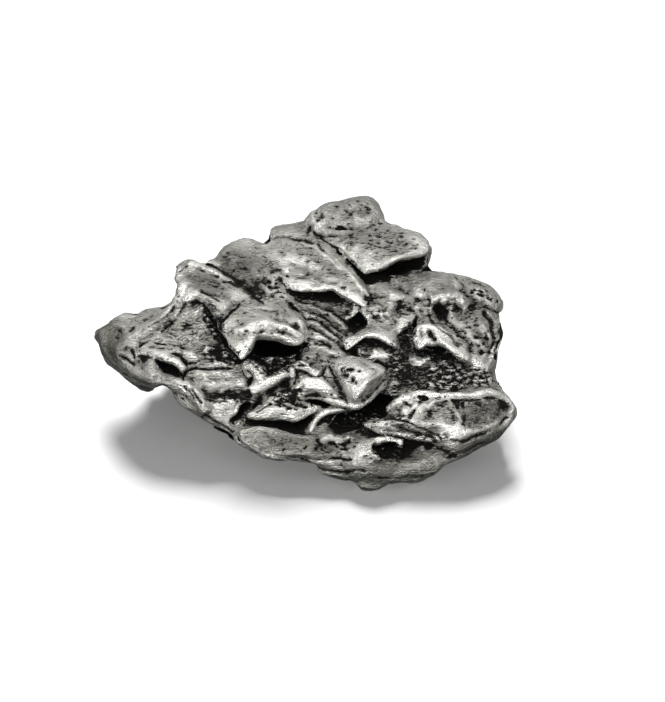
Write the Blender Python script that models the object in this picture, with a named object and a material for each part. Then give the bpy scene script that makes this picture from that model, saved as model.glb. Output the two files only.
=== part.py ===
"""An iron meteorite, 50 mm across: one solid of folded, overlapping flakes round a lumpy heart.

The face is laid out on a grid of small steps, as it is seen from in front and 35 degrees above: x runs
right, y runs down, and the third value is how much nearer than the sloping mean face a thing lies. The
heart, its feet and the sides that the face hides are laid out along the frame's own axes. The origin is
below the middle of the stone, on the ground.
"""

import math

import bmesh
import bpy
import numpy as np
from mathutils import noise
from mathutils.bvhtree import BVHTree

# Driving dimensions. Shapes are worked out in grid steps and millimetres, and end in metres.
STONE_WIDTH = 50.0  # millimetres across its widest, side to side
STONE_STEPS = 423  # the same width in steps of the face grid
STEP = STONE_WIDTH / STONE_STEPS  # millimetres in one step
GRID_MIDDLE = (305, 343)  # the grid place, right and down, that lies over the middle of the heart
LOOK_DOWN = math.radians(35)  # the face is drawn as it is seen from this far above the horizon
FLOOR_STEPS = -88  # height of the ground below the grid's middle
MM = 0.001

# Fineness, in millimetres and triangles.
BODY_VOXEL = 0.5
SOLID_VOXEL = 0.42
SOLID_TRIANGLES = 9000

# The underside between the feet, in steps above the ground.
UNDER_CLEARANCE = 15
UNDER_UNEVENNESS = 5

# The sides that the face hides. Counts are of directions tried, and those that the face shows are passed
# over. Sizes, depths and radii are from and to, in steps.
SCALE_COUNT = 150
SCALE_SIZES = (18, 34)
SCALE_LIFTS = (0.2, 0.42)  # slopes of the scales against the skin
SCALE_THICKNESS = 0.36  # as a share of a scale's size
SCALE_UPHILL = np.array((0.25, 0.55, 1.0))  # the way that the scales' fixed edges mostly lie
SCOOP_COUNT = 60
SCOOP_SIZES = (12, 26)
SCOOP_DEPTHS = (5, 9)
FOLD_COUNT = 90
FOLD_POINTS = 8
FOLD_RADII = (3.5, 6)
DIRECTION_SCATTER = 0.08
HIDDEN_LIMIT = -0.3  # how far a spot has to face away from the face's viewer
LOW_EDGE = -60  # height, in steps, below which only what faces the ground is scaled or scooped
HEART_MIDDLE = STEP * np.array((15.0, 35.0, -30.0))
HEART_STRETCH = np.array((1.0, 0.7, 0.5))

# Roughness, in millimetres, and the drawn lines' unsteadiness, in steps.
NOISE_REACH = 1.6  # brings the noise's heights to about -1 to 1
CUT_RAGGEDNESS = 0.35  # how far the pockets' walls wander
GROUND_SOFTNESS = 0.5
LINE_WANDER = 1.5
LINE_FADE = 1.5  # half widths from a drawn line at which it has faded out
LINE_STRENGTH = 0.8  # share of a drawn height that is raised or sunk
SKIN_WAVES = 0.16
SKIN_RIPPLES = 0.07
SKIN_WARP = 0.15
SIDE_LAYERS = 0.2
SIDE_RIPPLES = 0.16
EDGE_SOFTNESS = 0.7  # steps over which the skin is eased in at the outer edge
FILL_SPREAD = 1.6  # how widely the upper creases are filled, in square millimetres

RIGHT = np.array((1.0, 0.0, 0.0))
UP = np.array((0.0, math.sin(LOOK_DOWN), math.cos(LOOK_DOWN)))
NEAR = np.array((0.0, -math.cos(LOOK_DOWN), math.sin(LOOK_DOWN)))


def slope_depth(y):
    """How near the stone's mean face lies at a grid row: low and near in front, high and far behind."""
    return 0.42 * (y - GRID_MIDDLE[1])


def face_place(x, y, near):
    """Places in millimetres of points seen at grid (x, y), a number of steps nearer than the middle."""
    x, y, near = (np.asarray(value, float)[..., None] for value in (x, y, near))
    return STEP * ((x - GRID_MIDDLE[0]) * RIGHT + (GRID_MIDDLE[1] - y) * UP + near * NEAR)


def grid_of(places):
    """The grid x, grid y and nearness of places in millimetres."""
    steps = places / STEP
    return GRID_MIDDLE[0] + steps @ RIGHT, GRID_MIDDLE[1] - steps @ UP, steps @ NEAR


def smooth_run(points, closed, between=6):
    """A Catmull-Rom curve through the points, as an array of closely spaced ones."""
    points = np.array(points, float)
    if closed:
        padded = np.vstack((points[-1], points, points[:2]))
    else:
        padded = np.vstack((2 * points[0] - points[1], points, 2 * points[-1] - points[-2]))
    share = np.linspace(0, 1, between, endpoint=False)[:, None]
    runs = []
    for a, b, c, d in zip(padded, padded[1:], padded[2:], padded[3:]):
        runs.append(
            0.5 * (2 * b + (c - a) * share + (2 * a - 5 * b + 4 * c - d) * share**2)
            + 0.5 * (3 * b - a - 3 * c + d) * share**3
        )
    if not closed:
        runs.append(points[-1:])
    return np.vstack(runs)


def flake_skin(shape, loop, thick, tilt, lean, crown, edge):
    """A ball pressed into a flake inside a loop of offsets: its points, and how each lies on the flake."""
    angles = np.arctan2(loop[:, 1], loop[:, 0])
    order = np.argsort(angles)
    reach = np.hypot(loop[:, 0], loop[:, 1])
    finer = 5 if reach.max() > 45 else 4
    ball = bmesh.ops.create_icosphere(shape, subdivisions=finer, radius=1.0)["verts"]
    unit = np.array([vert.co for vert in ball])
    radius = np.minimum(np.hypot(unit[:, 0], unit[:, 1]), 1.0)
    angle = np.arctan2(unit[:, 1], unit[:, 0])
    span = radius * np.interp(angle, angles[order], reach[order], period=2 * math.pi)
    across, above = span * np.cos(angle), span * np.sin(angle)
    skin = np.sign(unit[:, 2]) * 0.5 * thick * np.sqrt(1 - radius**edge)
    near = tilt * above + lean * across + skin + crown * (1 - radius**2)
    return ball, across, above, near


def add_flake(shape, outline, centre, depth, thick, tilt=-0.75, lean=0.0, crown=0.0, edge=4.0):
    """A round-edged flake inside an outline on the face, nearer by depth than the mean face at its centre."""
    loop = (smooth_run(outline, closed=True) - centre) * (1, -1)
    ball, across, above, near = flake_skin(shape, loop, thick, tilt, lean, crown, edge)
    near += slope_depth(centre[1]) + depth
    for vert, place in zip(ball, face_place(centre[0] + across, centre[1] - above, near)):
        vert.co = place


def add_scale(shape, place, outward, uphill, loop, thick, lift, edge):
    """A flake on any side of the stone, lying on its skin at a place, with its downhill edge lifted."""
    side = np.cross(uphill, outward)
    side /= np.linalg.norm(side)
    uphill = np.cross(outward, side)
    ball, across, above, near = flake_skin(shape, loop, thick, -lift, 0.0, 0.0, edge)
    local = across[:, None] * side + above[:, None] * uphill + near[:, None] * outward
    for vert, spot in zip(ball, place + STEP * local):
        vert.co = spot


def strands_mesh(strands):
    """Round rims and ribs along lines in millimetres, their thickness running through the radii."""
    curve = bpy.data.curves.new("strands", "CURVE")
    curve.dimensions = "3D"
    curve.bevel_depth = STEP
    curve.bevel_resolution = 3
    curve.use_fill_caps = True
    for line, radii in strands:
        radii = np.interp(np.linspace(0, 1, len(line)), np.linspace(0, 1, len(radii)), radii)
        spline = curve.splines.new("POLY")
        spline.points.add(len(line) - 1)
        for point, place, radius in zip(spline.points, line, radii):
            point.co = (*place, 1.0)
            point.radius = radius
    made = bpy.data.objects.new("strands", curve)
    bpy.context.scene.collection.objects.link(made)
    mesh = bpy.data.meshes.new_from_object(made)
    bpy.data.objects.remove(made)
    return mesh


def add_lump(shape, middle, radii, turn=0.0):
    """An egg of the given radii round a middle, both in steps along the frame's own axes."""
    ball = bmesh.ops.create_icosphere(shape, subdivisions=4, radius=1.0)["verts"]
    unit = np.array([vert.co for vert in ball]) * radii
    c, s = math.cos(math.radians(turn)), math.sin(math.radians(turn))
    turned = np.column_stack((c * unit[:, 0] - s * unit[:, 1], s * unit[:, 0] + c * unit[:, 1], unit[:, 2]))
    for vert, place in zip(ball, STEP * (turned + middle)):
        vert.co = place

# The stone's outer edge as the face's viewer sees it, on the grid. Nothing reaches past it.
OUTER_EDGE = [
    (93, 336), (94, 331), (97, 327.5), (102, 325), (108, 322), (113, 317), (118, 314.5), (124, 313),
    (130, 313.5), (135, 315), (141, 312.5), (147, 310), (154, 308.5), (161, 308.5), (166, 304.5),
    (171, 300), (177, 296), (178, 290), (177, 283), (174.5, 276), (174, 271), (176, 267), (180, 263),
    (184, 260), (188, 258.7), (193, 260), (198, 263), (203, 264.5), (207, 262), (212, 257.5), (218, 252),
    (226, 244.5), (234, 239.5), (241, 237.5), (248, 237.8), (255, 240), (262, 243), (268, 243.5),
    (271, 240), (270, 234), (271.5, 228), (276, 223.5), (284, 221.5), (295, 220), (303, 218), (308, 212),
    (314, 207), (321, 203), (329, 200.3), (338, 199.5), (346, 196.5), (353, 193.8), (360, 192.8),
    (367, 193.5), (373, 196), (377, 201), (381, 207), (384.5, 213), (385, 219), (388, 223), (396, 224),
    (404, 226.5), (412, 230), (420, 234.5), (426, 239), (430, 244), (430.5, 250), (429.5, 258),
    (428.5, 266), (426, 270.5), (434, 270.3), (443, 271), (450, 273), (458, 274.3), (468, 275.7),
    (478, 278.8), (487, 283), (495, 289), (500, 295), (503, 302), (502.5, 308), (499.5, 312), (501, 322),
    (502, 333), (500.5, 342), (497.5, 349), (497, 358), (495.5, 367), (493.5, 373), (497, 380), (503, 387),
    (509, 394), (514, 401), (516.3, 409), (515.3, 417), (511, 426), (504, 434), (495, 441), (483, 446.5),
    (470, 452), (458, 458), (446, 462.5), (436, 468), (428, 475), (418, 480.5), (406, 483.3), (394, 483.5),
    (386, 485.5), (379, 489.5), (369, 492), (361, 490), (356, 483.5), (350, 479.3), (336, 479), (325, 475),
    (315, 468.5), (306, 462), (298, 459.3), (280, 459.6), (262, 459.8), (256, 455), (248, 449.5),
    (239, 447), (232, 442.5), (230, 435.5), (221, 431.5), (211, 426), (203, 420), (196, 414.5),
    (188, 409.5), (180, 404), (174, 398), (170.5, 391), (167, 385.5), (161, 384), (155.5, 386.5),
    (151.5, 392), (147, 393.7), (140, 391), (132, 385.5), (125, 379), (117, 371.5), (109, 363), (104, 355),
    (100, 347), (95, 341),
]

# The heart of the stone: eggs (middle, radii, turn in degrees) in steps along the frame's axes.
HEART = {
    "belly": ((15, 42, -56), (150, 85, 34), 4),
    "left_shoulder": ((-90, 40, -42), (80, 50, 32), -12),
    "right_shoulder": ((120, 15, -52), (72, 60, 30), 10),
    "crest_root": ((45, 98, 0), (92, 50, 48), 5),
    "right_back": ((135, 62, -20), (55, 45, 38), 0),
    "horn_root": ((-97, 66, 14), (40, 32, 28), -8),
    "front_keel": ((60, -50, -70), (100, 50, 16), 8),
}

# Where the stone stands, on the same terms.
FEET = {
    "front_root": ((66, -106, -70), (36, 26, 22), 0),
    "right_back": ((120, 56, -70), (44, 36, 22), 20),
    "left_back": ((-86, 48, -70), (44, 30, 22), -20),
}

# Flakes that belong to the heart: pockets are cut into these, and the outer flakes overhang them.
INNER_FLAKES = {
    "face_slab": dict(
        outline=[
            (112, 345), (140, 322), (178, 305), (190, 275), (222, 262), (248, 246), (280, 244), (312, 224),
            (345, 205), (376, 212), (400, 236), (420, 250), (428, 276), (460, 282), (492, 300), (494, 340),
            (486, 372), (504, 402), (498, 428), (460, 448), (415, 470), (345, 468), (300, 452), (250, 442),
            (205, 412), (165, 384), (128, 366),
        ],
        centre=(320, 345), depth=-44, thick=64, tilt=-0.42, edge=5.0,
    ),
    "wing_root": dict(
        outline=[
            (112, 348), (140, 322), (180, 296), (215, 300), (248, 350), (240, 392), (190, 392), (140, 376),
        ],
        centre=(185, 352), depth=-30, thick=44, tilt=-0.4, edge=3.0,
    ),
    "belt_root": dict(
        outline=[
            (106, 342), (130, 338), (175, 350), (200, 372), (198, 394), (176, 388), (148, 380), (120, 364),
        ],
        centre=(155, 366), depth=-20, thick=40, tilt=-0.3, edge=3.0,
    ),
    "ledge_root": dict(
        outline=[
            (232, 420), (270, 404), (340, 402), (390, 420), (400, 450), (370, 466), (300, 456), (245, 440),
        ],
        centre=(315, 432), depth=-30, thick=46, tilt=-0.4, edge=3.0,
    ),
    "lobe_root": dict(
        outline=[
            (345, 430), (400, 405), (470, 400), (506, 408), (500, 430), (455, 452), (405, 474), (352, 470),
        ],
        centre=(425, 436), depth=-22, thick=56, tilt=-0.4, edge=3.0,
    ),
    "crest_slab": dict(
        outline=[
            (225, 262), (252, 243), (282, 240), (312, 214), (345, 200), (376, 204), (384, 224), (416, 236),
            (426, 252), (420, 275), (380, 300), (310, 300), (250, 285),
        ],
        centre=(340, 252), depth=-26, thick=36, tilt=-0.7, edge=3.5,
    ),
    "left_tip": dict(
        outline=[
            (89, 337), (91, 329), (100, 322), (112, 316), (121, 313.5), (128, 313.5), (135, 316),
            (144, 312), (152, 308.5), (161, 308.5), (168, 303), (178, 296), (180, 320), (165, 345),
            (140, 362), (120, 372), (108, 362), (104, 354), (101, 347), (93, 342),
        ],
        centre=(135, 337), depth=-42, thick=46, tilt=-0.55, lean=0.05, edge=2.2,
    ),
    "left_foot": dict(
        outline=[
            (103, 352), (115, 345), (140, 350), (160, 370), (168, 386), (158, 386), (152, 394), (146, 396),
            (140, 393), (132, 387), (124, 380), (115, 372), (107, 362),
        ],
        centre=(135, 370), depth=-50, thick=38, tilt=-0.2, edge=2.6,
    ),
    "rough_saddle": dict(
        outline=[
            (207, 262), (222, 247), (231, 240), (240, 236.5), (249, 236.5), (257, 239.5), (266, 243.5),
            (282, 262), (290, 285), (296, 302), (272, 304), (250, 296), (232, 284), (215, 272),
        ],
        centre=(250, 268), depth=-3, thick=24, tilt=-0.8, lean=-0.12, edge=4.0,
    ),
    "under_brow": dict(
        outline=[
            (244, 345), (262, 338), (285, 340), (303, 345), (300, 365), (288, 378), (262, 390), (246, 380),
        ],
        centre=(272, 362), depth=-20, thick=26, tilt=-0.5, edge=3.0,
    ),
    "layered_strip": dict(
        outline=[
            (284, 298), (300, 294), (345, 298), (358, 308), (354, 320), (348, 330), (346, 346), (340, 354),
            (325, 349), (308, 351), (304, 335), (296, 315),
        ],
        centre=(324, 324), depth=-3, thick=26, tilt=-0.55, edge=3.5,
    ),
    "right_floor": dict(
        outline=[
            (392, 352), (415, 345), (460, 350), (494, 372), (500, 385), (512, 398), (500, 408), (450, 405),
            (405, 405), (385, 400), (386, 375),
        ],
        centre=(445, 378), depth=-21, thick=34, tilt=-0.52, edge=3.0,
    ),
    "cheek": dict(
        outline=[
            (170, 386), (185, 382), (200, 374), (225, 370), (244, 370), (252, 384), (248, 397), (238, 404),
            (232, 418), (231, 435), (221, 430), (213, 426), (203, 418), (196, 413), (190, 411), (181, 407),
            (174, 400), (171, 394),
        ],
        centre=(208, 398), depth=-14, thick=40, tilt=-0.35, edge=3.0,
    ),
    "bottom_ledge": dict(
        outline=[
            (231, 436), (245, 428), (260, 425), (280, 431), (300, 437), (318, 433), (340, 430), (360, 436),
            (380, 446), (378, 464), (345, 470), (318, 468), (303, 459), (295, 458), (285, 459.5),
            (270, 460), (261, 459), (254, 452), (248, 448), (240, 446), (232, 440),
        ],
        centre=(304, 447), depth=-4, thick=34, tilt=-0.5, edge=4.5,
    ),
    "right_saddle": dict(
        outline=[
            (404, 300), (412, 293), (426, 296), (440, 298), (455, 294), (466, 302), (462, 316), (444, 324),
            (426, 316), (410, 312),
        ],
        centre=(430, 305), depth=-10, thick=28, tilt=-0.75, edge=3.0,
    ),
    "right_mass": dict(
        outline=[
            (440, 300), (455, 297), (470, 300), (485, 303), (495, 308), (500, 318), (501, 330), (502, 338),
            (499, 346), (497, 352), (496, 362), (493, 371), (480, 376), (466, 368), (458, 352), (448, 337),
            (436, 322), (432, 308),
        ],
        centre=(472, 336), depth=-13, thick=40, tilt=-0.5, lean=-0.15, edge=3.0,
    ),
    "wing_floor": dict(
        outline=[
            (190, 300), (208, 298), (222, 318), (232, 345), (246, 362), (240, 376), (205, 370), (188, 345),
        ],
        centre=(212, 336), depth=-9, thick=24, tilt=-0.4, edge=3.0,
    ),
    "horn_curtain": dict(
        outline=[
            (178, 282), (190, 280), (205, 293), (209, 308), (201, 320), (186, 330), (170, 330), (170, 306),
        ],
        centre=(189, 308), depth=8, thick=17, tilt=-0.05, edge=2.5,
    ),
    "cheek_top": dict(
        outline=[(180, 372), (200, 362), (240, 362), (252, 378), (246, 394), (200, 394), (182, 386)],
        centre=(215, 378), depth=-6, thick=22, tilt=-0.4, edge=3.0,
    ),
    "cheek_floor": dict(
        outline=[
            (190, 386), (240, 382), (262, 382), (292, 368), (300, 382), (284, 398), (258, 406), (244, 418),
            (230, 430), (212, 424), (196, 408),
        ],
        centre=(240, 398), depth=-12, thick=26, tilt=-0.4, edge=3.0,
    ),
    "fin_floor": dict(
        outline=[(340, 340), (355, 330), (385, 330), (402, 342), (402, 356), (385, 362), (355, 354)],
        centre=(372, 345), depth=-7, thick=22, tilt=-0.45, edge=3.0,
    ),
    "dome_root": dict(
        outline=[(394, 268), (414, 268), (424, 290), (418, 314), (398, 314), (390, 296)],
        centre=(407, 291), depth=-14, thick=22, tilt=-0.6, edge=3.0,
    ),
    "valley_floor": dict(
        outline=[
            (384, 326), (398, 316), (416, 310), (420, 330), (416, 360), (410, 390), (398, 402), (386, 398),
            (382, 365),
        ],
        centre=(400, 360), depth=-15, thick=24, tilt=-0.45, edge=3.0,
    ),
}

# Pockets cut into the heart: outline, depth of the floor at the centre, and how far the cut reaches out.
POCKETS = {
    "right_notch": dict(
        outline=[(431.5, 238), (452, 240), (470, 262), (456, 269.5), (434, 268.5), (430.5, 263)],
        centre=(445, 256), depth=-50, thick=150, tilt=-0.4, edge=8.0,
    ),
    "left_notch": dict(
        outline=[(255, 236), (259, 226), (267, 220), (268, 232), (267, 241), (261, 241)],
        centre=(263, 233), depth=-50, thick=150, tilt=-0.4, edge=8.0,
    ),
    "under_brow": dict(
        outline=[
            (249, 346), (255, 340), (265, 337), (285, 340), (301, 344), (299, 353), (285, 357), (262, 357),
        ],
        centre=(276, 348), depth=-12, thick=60, tilt=-0.5, edge=4.0,
    ),
    "left_pocket": dict(
        outline=[(150, 359), (164, 362), (177, 363), (182, 372), (180, 379), (166, 376), (153, 370)],
        centre=(166, 368), depth=2, thick=28, tilt=-0.3, edge=4.0,
    ),
    "black_hole": dict(
        outline=[(348, 329), (351, 321), (356, 314), (363, 315), (366, 321), (361, 326), (354, 330)],
        centre=(361, 320), depth=0, thick=44, tilt=-0.5, edge=2.0,
    ),
    "shelf_shadow": dict(
        outline=[
            (362, 272), (384, 267), (397, 260), (428, 254), (428, 264), (414, 272), (400, 277), (385, 278),
            (366, 276),
        ],
        centre=(396, 269), depth=-4, thick=40, tilt=-0.6, edge=4.0,
    ),
    "valley_mouth": dict(
        outline=[
            (385, 394), (396, 402), (388, 410), (384, 420), (367, 430), (334, 430), (343, 415), (360, 404),
            (374, 396),
        ],
        centre=(366, 413), depth=-10, thick=44, tilt=-0.5, edge=5.0,
    ),
    "knob_notch": dict(
        outline=[(381, 417), (386, 410), (392, 411), (397, 416), (392, 421), (382, 424)],
        centre=(389, 416), depth=8, thick=22, tilt=-0.5, edge=2.5,
    ),
    "dome_pocket": dict(
        outline=[(432, 311), (436, 306), (443, 307), (449, 311), (451, 318), (445, 322), (438, 317)],
        centre=(441, 313), depth=4, thick=24, tilt=-0.6, edge=2.5,
    ),
    "lip_cave": dict(
        outline=[(326, 430), (340, 414), (362, 404), (386, 404), (386, 418), (366, 428), (345, 433)],
        centre=(358, 418), depth=-10, thick=38, tilt=-0.4, edge=4.0,
    ),
    "spear_gap": dict(
        outline=[
            (246, 418), (262, 420), (296, 421), (312, 414), (316, 424), (308, 432), (285, 428), (262, 424),
        ],
        centre=(284, 424), depth=0, thick=36, tilt=-0.5, edge=3.0,
    ),
    "nose_shadow": dict(
        outline=[(298, 400), (312, 395), (326, 398), (345, 405), (340, 409), (322, 406), (305, 405)],
        centre=(320, 401), depth=4, thick=30, tilt=-0.5, edge=3.0,
    ),
    "cheek_gap": dict(
        outline=[
            (230, 434), (231, 420), (238, 409), (246, 402), (254, 403), (248, 410), (241, 419), (236, 429),
        ],
        centre=(242, 414), depth=-4, thick=34, tilt=-0.4, edge=3.0,
    ),
    "lobe_pocket": dict(
        outline=[
            (357, 459), (361, 450), (368, 443), (380, 440), (396, 440.5), (412, 443), (424, 446),
            (418, 453), (405, 458), (392, 462), (374, 463),
        ],
        centre=(388, 452), depth=9, thick=28, tilt=-0.4, edge=3.5,
    ),
    "lobe_slot": dict(
        outline=[
            (370, 432), (390, 433), (405, 434), (418, 438), (432, 438), (446, 430), (456, 429), (448, 438),
            (436, 444), (420, 446), (404, 441), (386, 437),
        ],
        centre=(414, 439), depth=12, thick=20, tilt=-0.4, edge=2.5,
    ),
    "cheek_hollow": dict(
        outline=[(207, 391), (220, 388), (238, 388), (243, 393), (236, 398), (220, 401), (210, 398)],
        centre=(225, 394), depth=12, thick=16, tilt=-0.3, edge=2.5,
    ),
}

# The outer flakes, drawn where they are seen on the face.
OUTER_FLAKES = {
    "crest": dict(
        outline=[
            (303, 219), (308, 211), (314, 206), (321, 202), (329, 199), (338, 199), (347, 196), (356, 193),
            (366, 192.5), (373, 195), (378, 201), (383, 208), (385, 214), (384, 222), (375, 232),
            (350, 240), (325, 236), (310, 228),
        ],
        centre=(346, 215), depth=-14, thick=32, tilt=-0.85, crown=5, edge=2.5,
    ),
    "shelf": dict(
        outline=[
            (322, 234), (336, 247), (348, 258), (362, 272), (372, 270), (384, 267), (397, 260), (411, 257),
            (427, 255), (431, 247), (425, 237), (410, 229), (393, 223), (375, 217), (350, 214), (330, 222),
        ],
        centre=(378, 244), depth=5, thick=11, tilt=-0.95, lean=0.07, crown=3, edge=6.0,
    ),
    "back_left_lobe": dict(
        outline=[
            (270, 233), (270.5, 228), (275, 224), (283, 221.5), (303, 218), (316, 222), (328, 236),
            (325, 250), (300, 254), (280, 248), (271, 241),
        ],
        centre=(299, 235), depth=-16, thick=26, tilt=-0.8, crown=2, edge=2.2,
    ),
    "long_flap": dict(
        outline=[
            (262, 244), (272, 239), (285, 236.5), (300, 239), (316, 245), (330, 255), (345, 270),
            (358, 285), (369, 300), (366, 308), (357, 304), (345, 298), (333, 291.5), (318, 293),
            (300, 292), (290, 289), (284, 283), (280, 276), (268, 262), (258, 252),
        ],
        centre=(312, 270), depth=7, thick=10, tilt=-0.8, lean=0.07, crown=4, edge=5.0,
    ),
    "flap_back_strip": dict(
        outline=[
            (300, 240), (318, 236), (336, 250), (350, 264), (362, 282), (372, 297), (368, 303), (356, 285),
            (338, 270), (318, 256),
        ],
        centre=(336, 266), depth=7, thick=14, tilt=-0.85, crown=2, edge=3.0,
    ),
    "horn": dict(
        outline=[
            (175, 273), (177, 267), (181, 262.5), (187, 259.5), (193, 261), (201, 265.5), (215, 270),
            (232, 279), (252, 293), (245, 300), (232, 306), (218, 319), (208, 306), (197, 301), (184, 304),
            (177, 291), (175, 280),
        ],
        centre=(203, 285), depth=9, thick=20, tilt=-0.85, crown=2, edge=3.0,
    ),
    "left_wing": dict(
        outline=[
            (177, 288), (190, 288), (203, 296), (209, 312), (213, 326), (214, 340), (222, 352), (212, 362),
            (197, 364), (183, 363), (165, 357), (150, 354), (137, 352), (122, 350), (117, 343), (122, 336),
            (140, 327), (155, 320), (168, 308),
        ],
        centre=(175, 334), depth=-4, thick=20, tilt=-0.38, lean=0.02, crown=-1, edge=5.0,
    ),
    "brow": dict(
        outline=[
            (217, 318), (232, 305), (245, 297), (257, 295.5), (270, 297), (285, 303), (298, 312),
            (304, 320), (307, 331), (305, 341), (297, 346), (285, 344), (275, 341.5), (262, 340.5),
            (253, 343), (249, 350), (247, 357), (242, 360), (237, 357), (228, 345), (222, 333),
        ],
        centre=(262, 322), depth=16, thick=15, tilt=-0.85, crown=9, edge=4.0,
    ),
    "nose": dict(
        outline=[
            (333, 361), (345, 356), (358, 355), (370, 359), (381, 364), (386, 371), (384, 379), (377, 388),
            (370, 396), (363, 402), (354, 404.5), (347, 401), (341, 390), (336, 378),
        ],
        centre=(360, 379), depth=10, thick=24, tilt=-0.4, crown=6, edge=2.6,
    ),
    "nose_bridge": dict(
        outline=[
            (300, 352), (310, 348), (325, 347), (340, 350), (352, 356), (348, 375), (348, 400), (335, 402),
            (322, 397), (308, 396), (298, 400), (290, 392), (287, 378), (290, 368), (298, 362),
        ],
        centre=(319, 374), depth=2, thick=22, tilt=-0.45, crown=2, edge=4.0,
    ),
    "spear": dict(
        outline=[
            (246, 417), (258, 407), (268, 397), (284, 387), (296, 397), (310, 403), (323, 404), (318, 412),
            (306, 418), (296, 422), (280, 420), (262, 420),
        ],
        centre=(284, 408), depth=-1, thick=16, tilt=-0.5, crown=3, edge=3.0,
    ),
    "right_front_lobe": dict(
        outline=[
            (389, 411), (396, 402), (404, 395), (420, 390), (447, 392.5), (470, 392), (490, 390.5),
            (503, 396), (512, 400), (516, 411), (512, 422), (505, 432), (495, 440), (483, 446), (470, 452),
            (455, 458), (440, 450), (425, 440), (400, 433), (380, 430), (364, 424), (374, 419), (388, 418),
        ],
        centre=(448, 420), depth=0, thick=38, tilt=-0.35, lean=-0.08, crown=3, edge=3.0,
    ),
    "right_dome": dict(
        outline=[
            (406, 284), (410, 279), (416, 275), (424, 272), (432, 270.5), (441, 271), (450, 273),
            (460, 279), (464, 288), (454, 296), (438, 300), (424, 302), (413, 297),
        ],
        centre=(434, 286), depth=-8, thick=26, tilt=-0.75, crown=3, edge=2.5,
    ),
    "right_back_lobe": dict(
        outline=[
            (448, 274), (458, 274), (468, 275.5), (478, 279), (488, 284), (496, 290), (501, 296),
            (503, 303), (500, 311), (488, 312), (470, 310), (452, 300),
        ],
        centre=(476, 294), depth=-18, thick=30, tilt=-0.65, lean=-0.1, crown=2, edge=2.5,
    ),
    "right_brow": dict(
        outline=[
            (419, 308), (428, 307), (440, 318), (452, 332), (464, 347), (470, 361), (462, 362), (450, 352),
            (440, 347), (428, 347), (418, 350), (413, 346), (415, 334), (418, 320),
        ],
        centre=(433, 333), depth=2, thick=14, tilt=-0.8, crown=7, edge=4.0,
    ),
    "fin": dict(
        outline=[
            (342, 346), (345, 336), (355, 328), (370, 321.5), (384, 321), (394, 327), (398, 338),
            (399, 350), (392, 345), (380, 340), (365, 338.5), (352, 341), (346, 350),
        ],
        centre=(372, 331), depth=6, thick=12, tilt=-0.8, crown=6, edge=4.0,
    ),
    "feather": dict(
        outline=[
            (386, 319), (400, 312), (410, 308), (419, 308), (418, 316), (410, 326), (399, 334), (393, 331),
            (392, 325),
        ],
        centre=(403, 320), depth=0, thick=8, tilt=-0.8, lean=-0.1, crown=1, edge=3.0,
    ),
    "tongue": dict(
        outline=[
            (350, 279), (362, 275), (380, 274.5), (394, 280), (402, 289), (408, 297), (398, 300.5),
            (385, 299), (372, 297), (358, 292),
        ],
        centre=(380, 288), depth=-6, thick=12, tilt=-0.8, lean=-0.05, crown=2, edge=4.0,
    ),
    "under_tongue": dict(
        outline=[
            (356, 288), (372, 292), (388, 298), (398, 301), (394, 312), (388, 318), (374, 315), (362, 311),
            (356, 302),
        ],
        centre=(377, 305), depth=-4, thick=16, tilt=-0.8, crown=2, edge=3.0,
    ),
    "nugget_root": dict(
        outline=[
            (338, 302), (350, 296), (366, 298), (382, 302), (392, 308), (393, 321), (376, 324), (366, 322),
            (363, 315), (356, 313), (352, 319), (345, 321), (340, 312),
        ],
        centre=(360, 307), depth=0, thick=14, tilt=-0.6, crown=1, edge=3.0,
    ),
    "small_tongue": dict(
        outline=[
            (404, 365), (411, 360), (410, 348), (414, 354), (424, 358), (433, 357), (426, 363), (418, 367),
        ],
        centre=(415, 360), depth=-8, thick=10, tilt=-0.6, edge=2.5,
    ),
}

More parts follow.
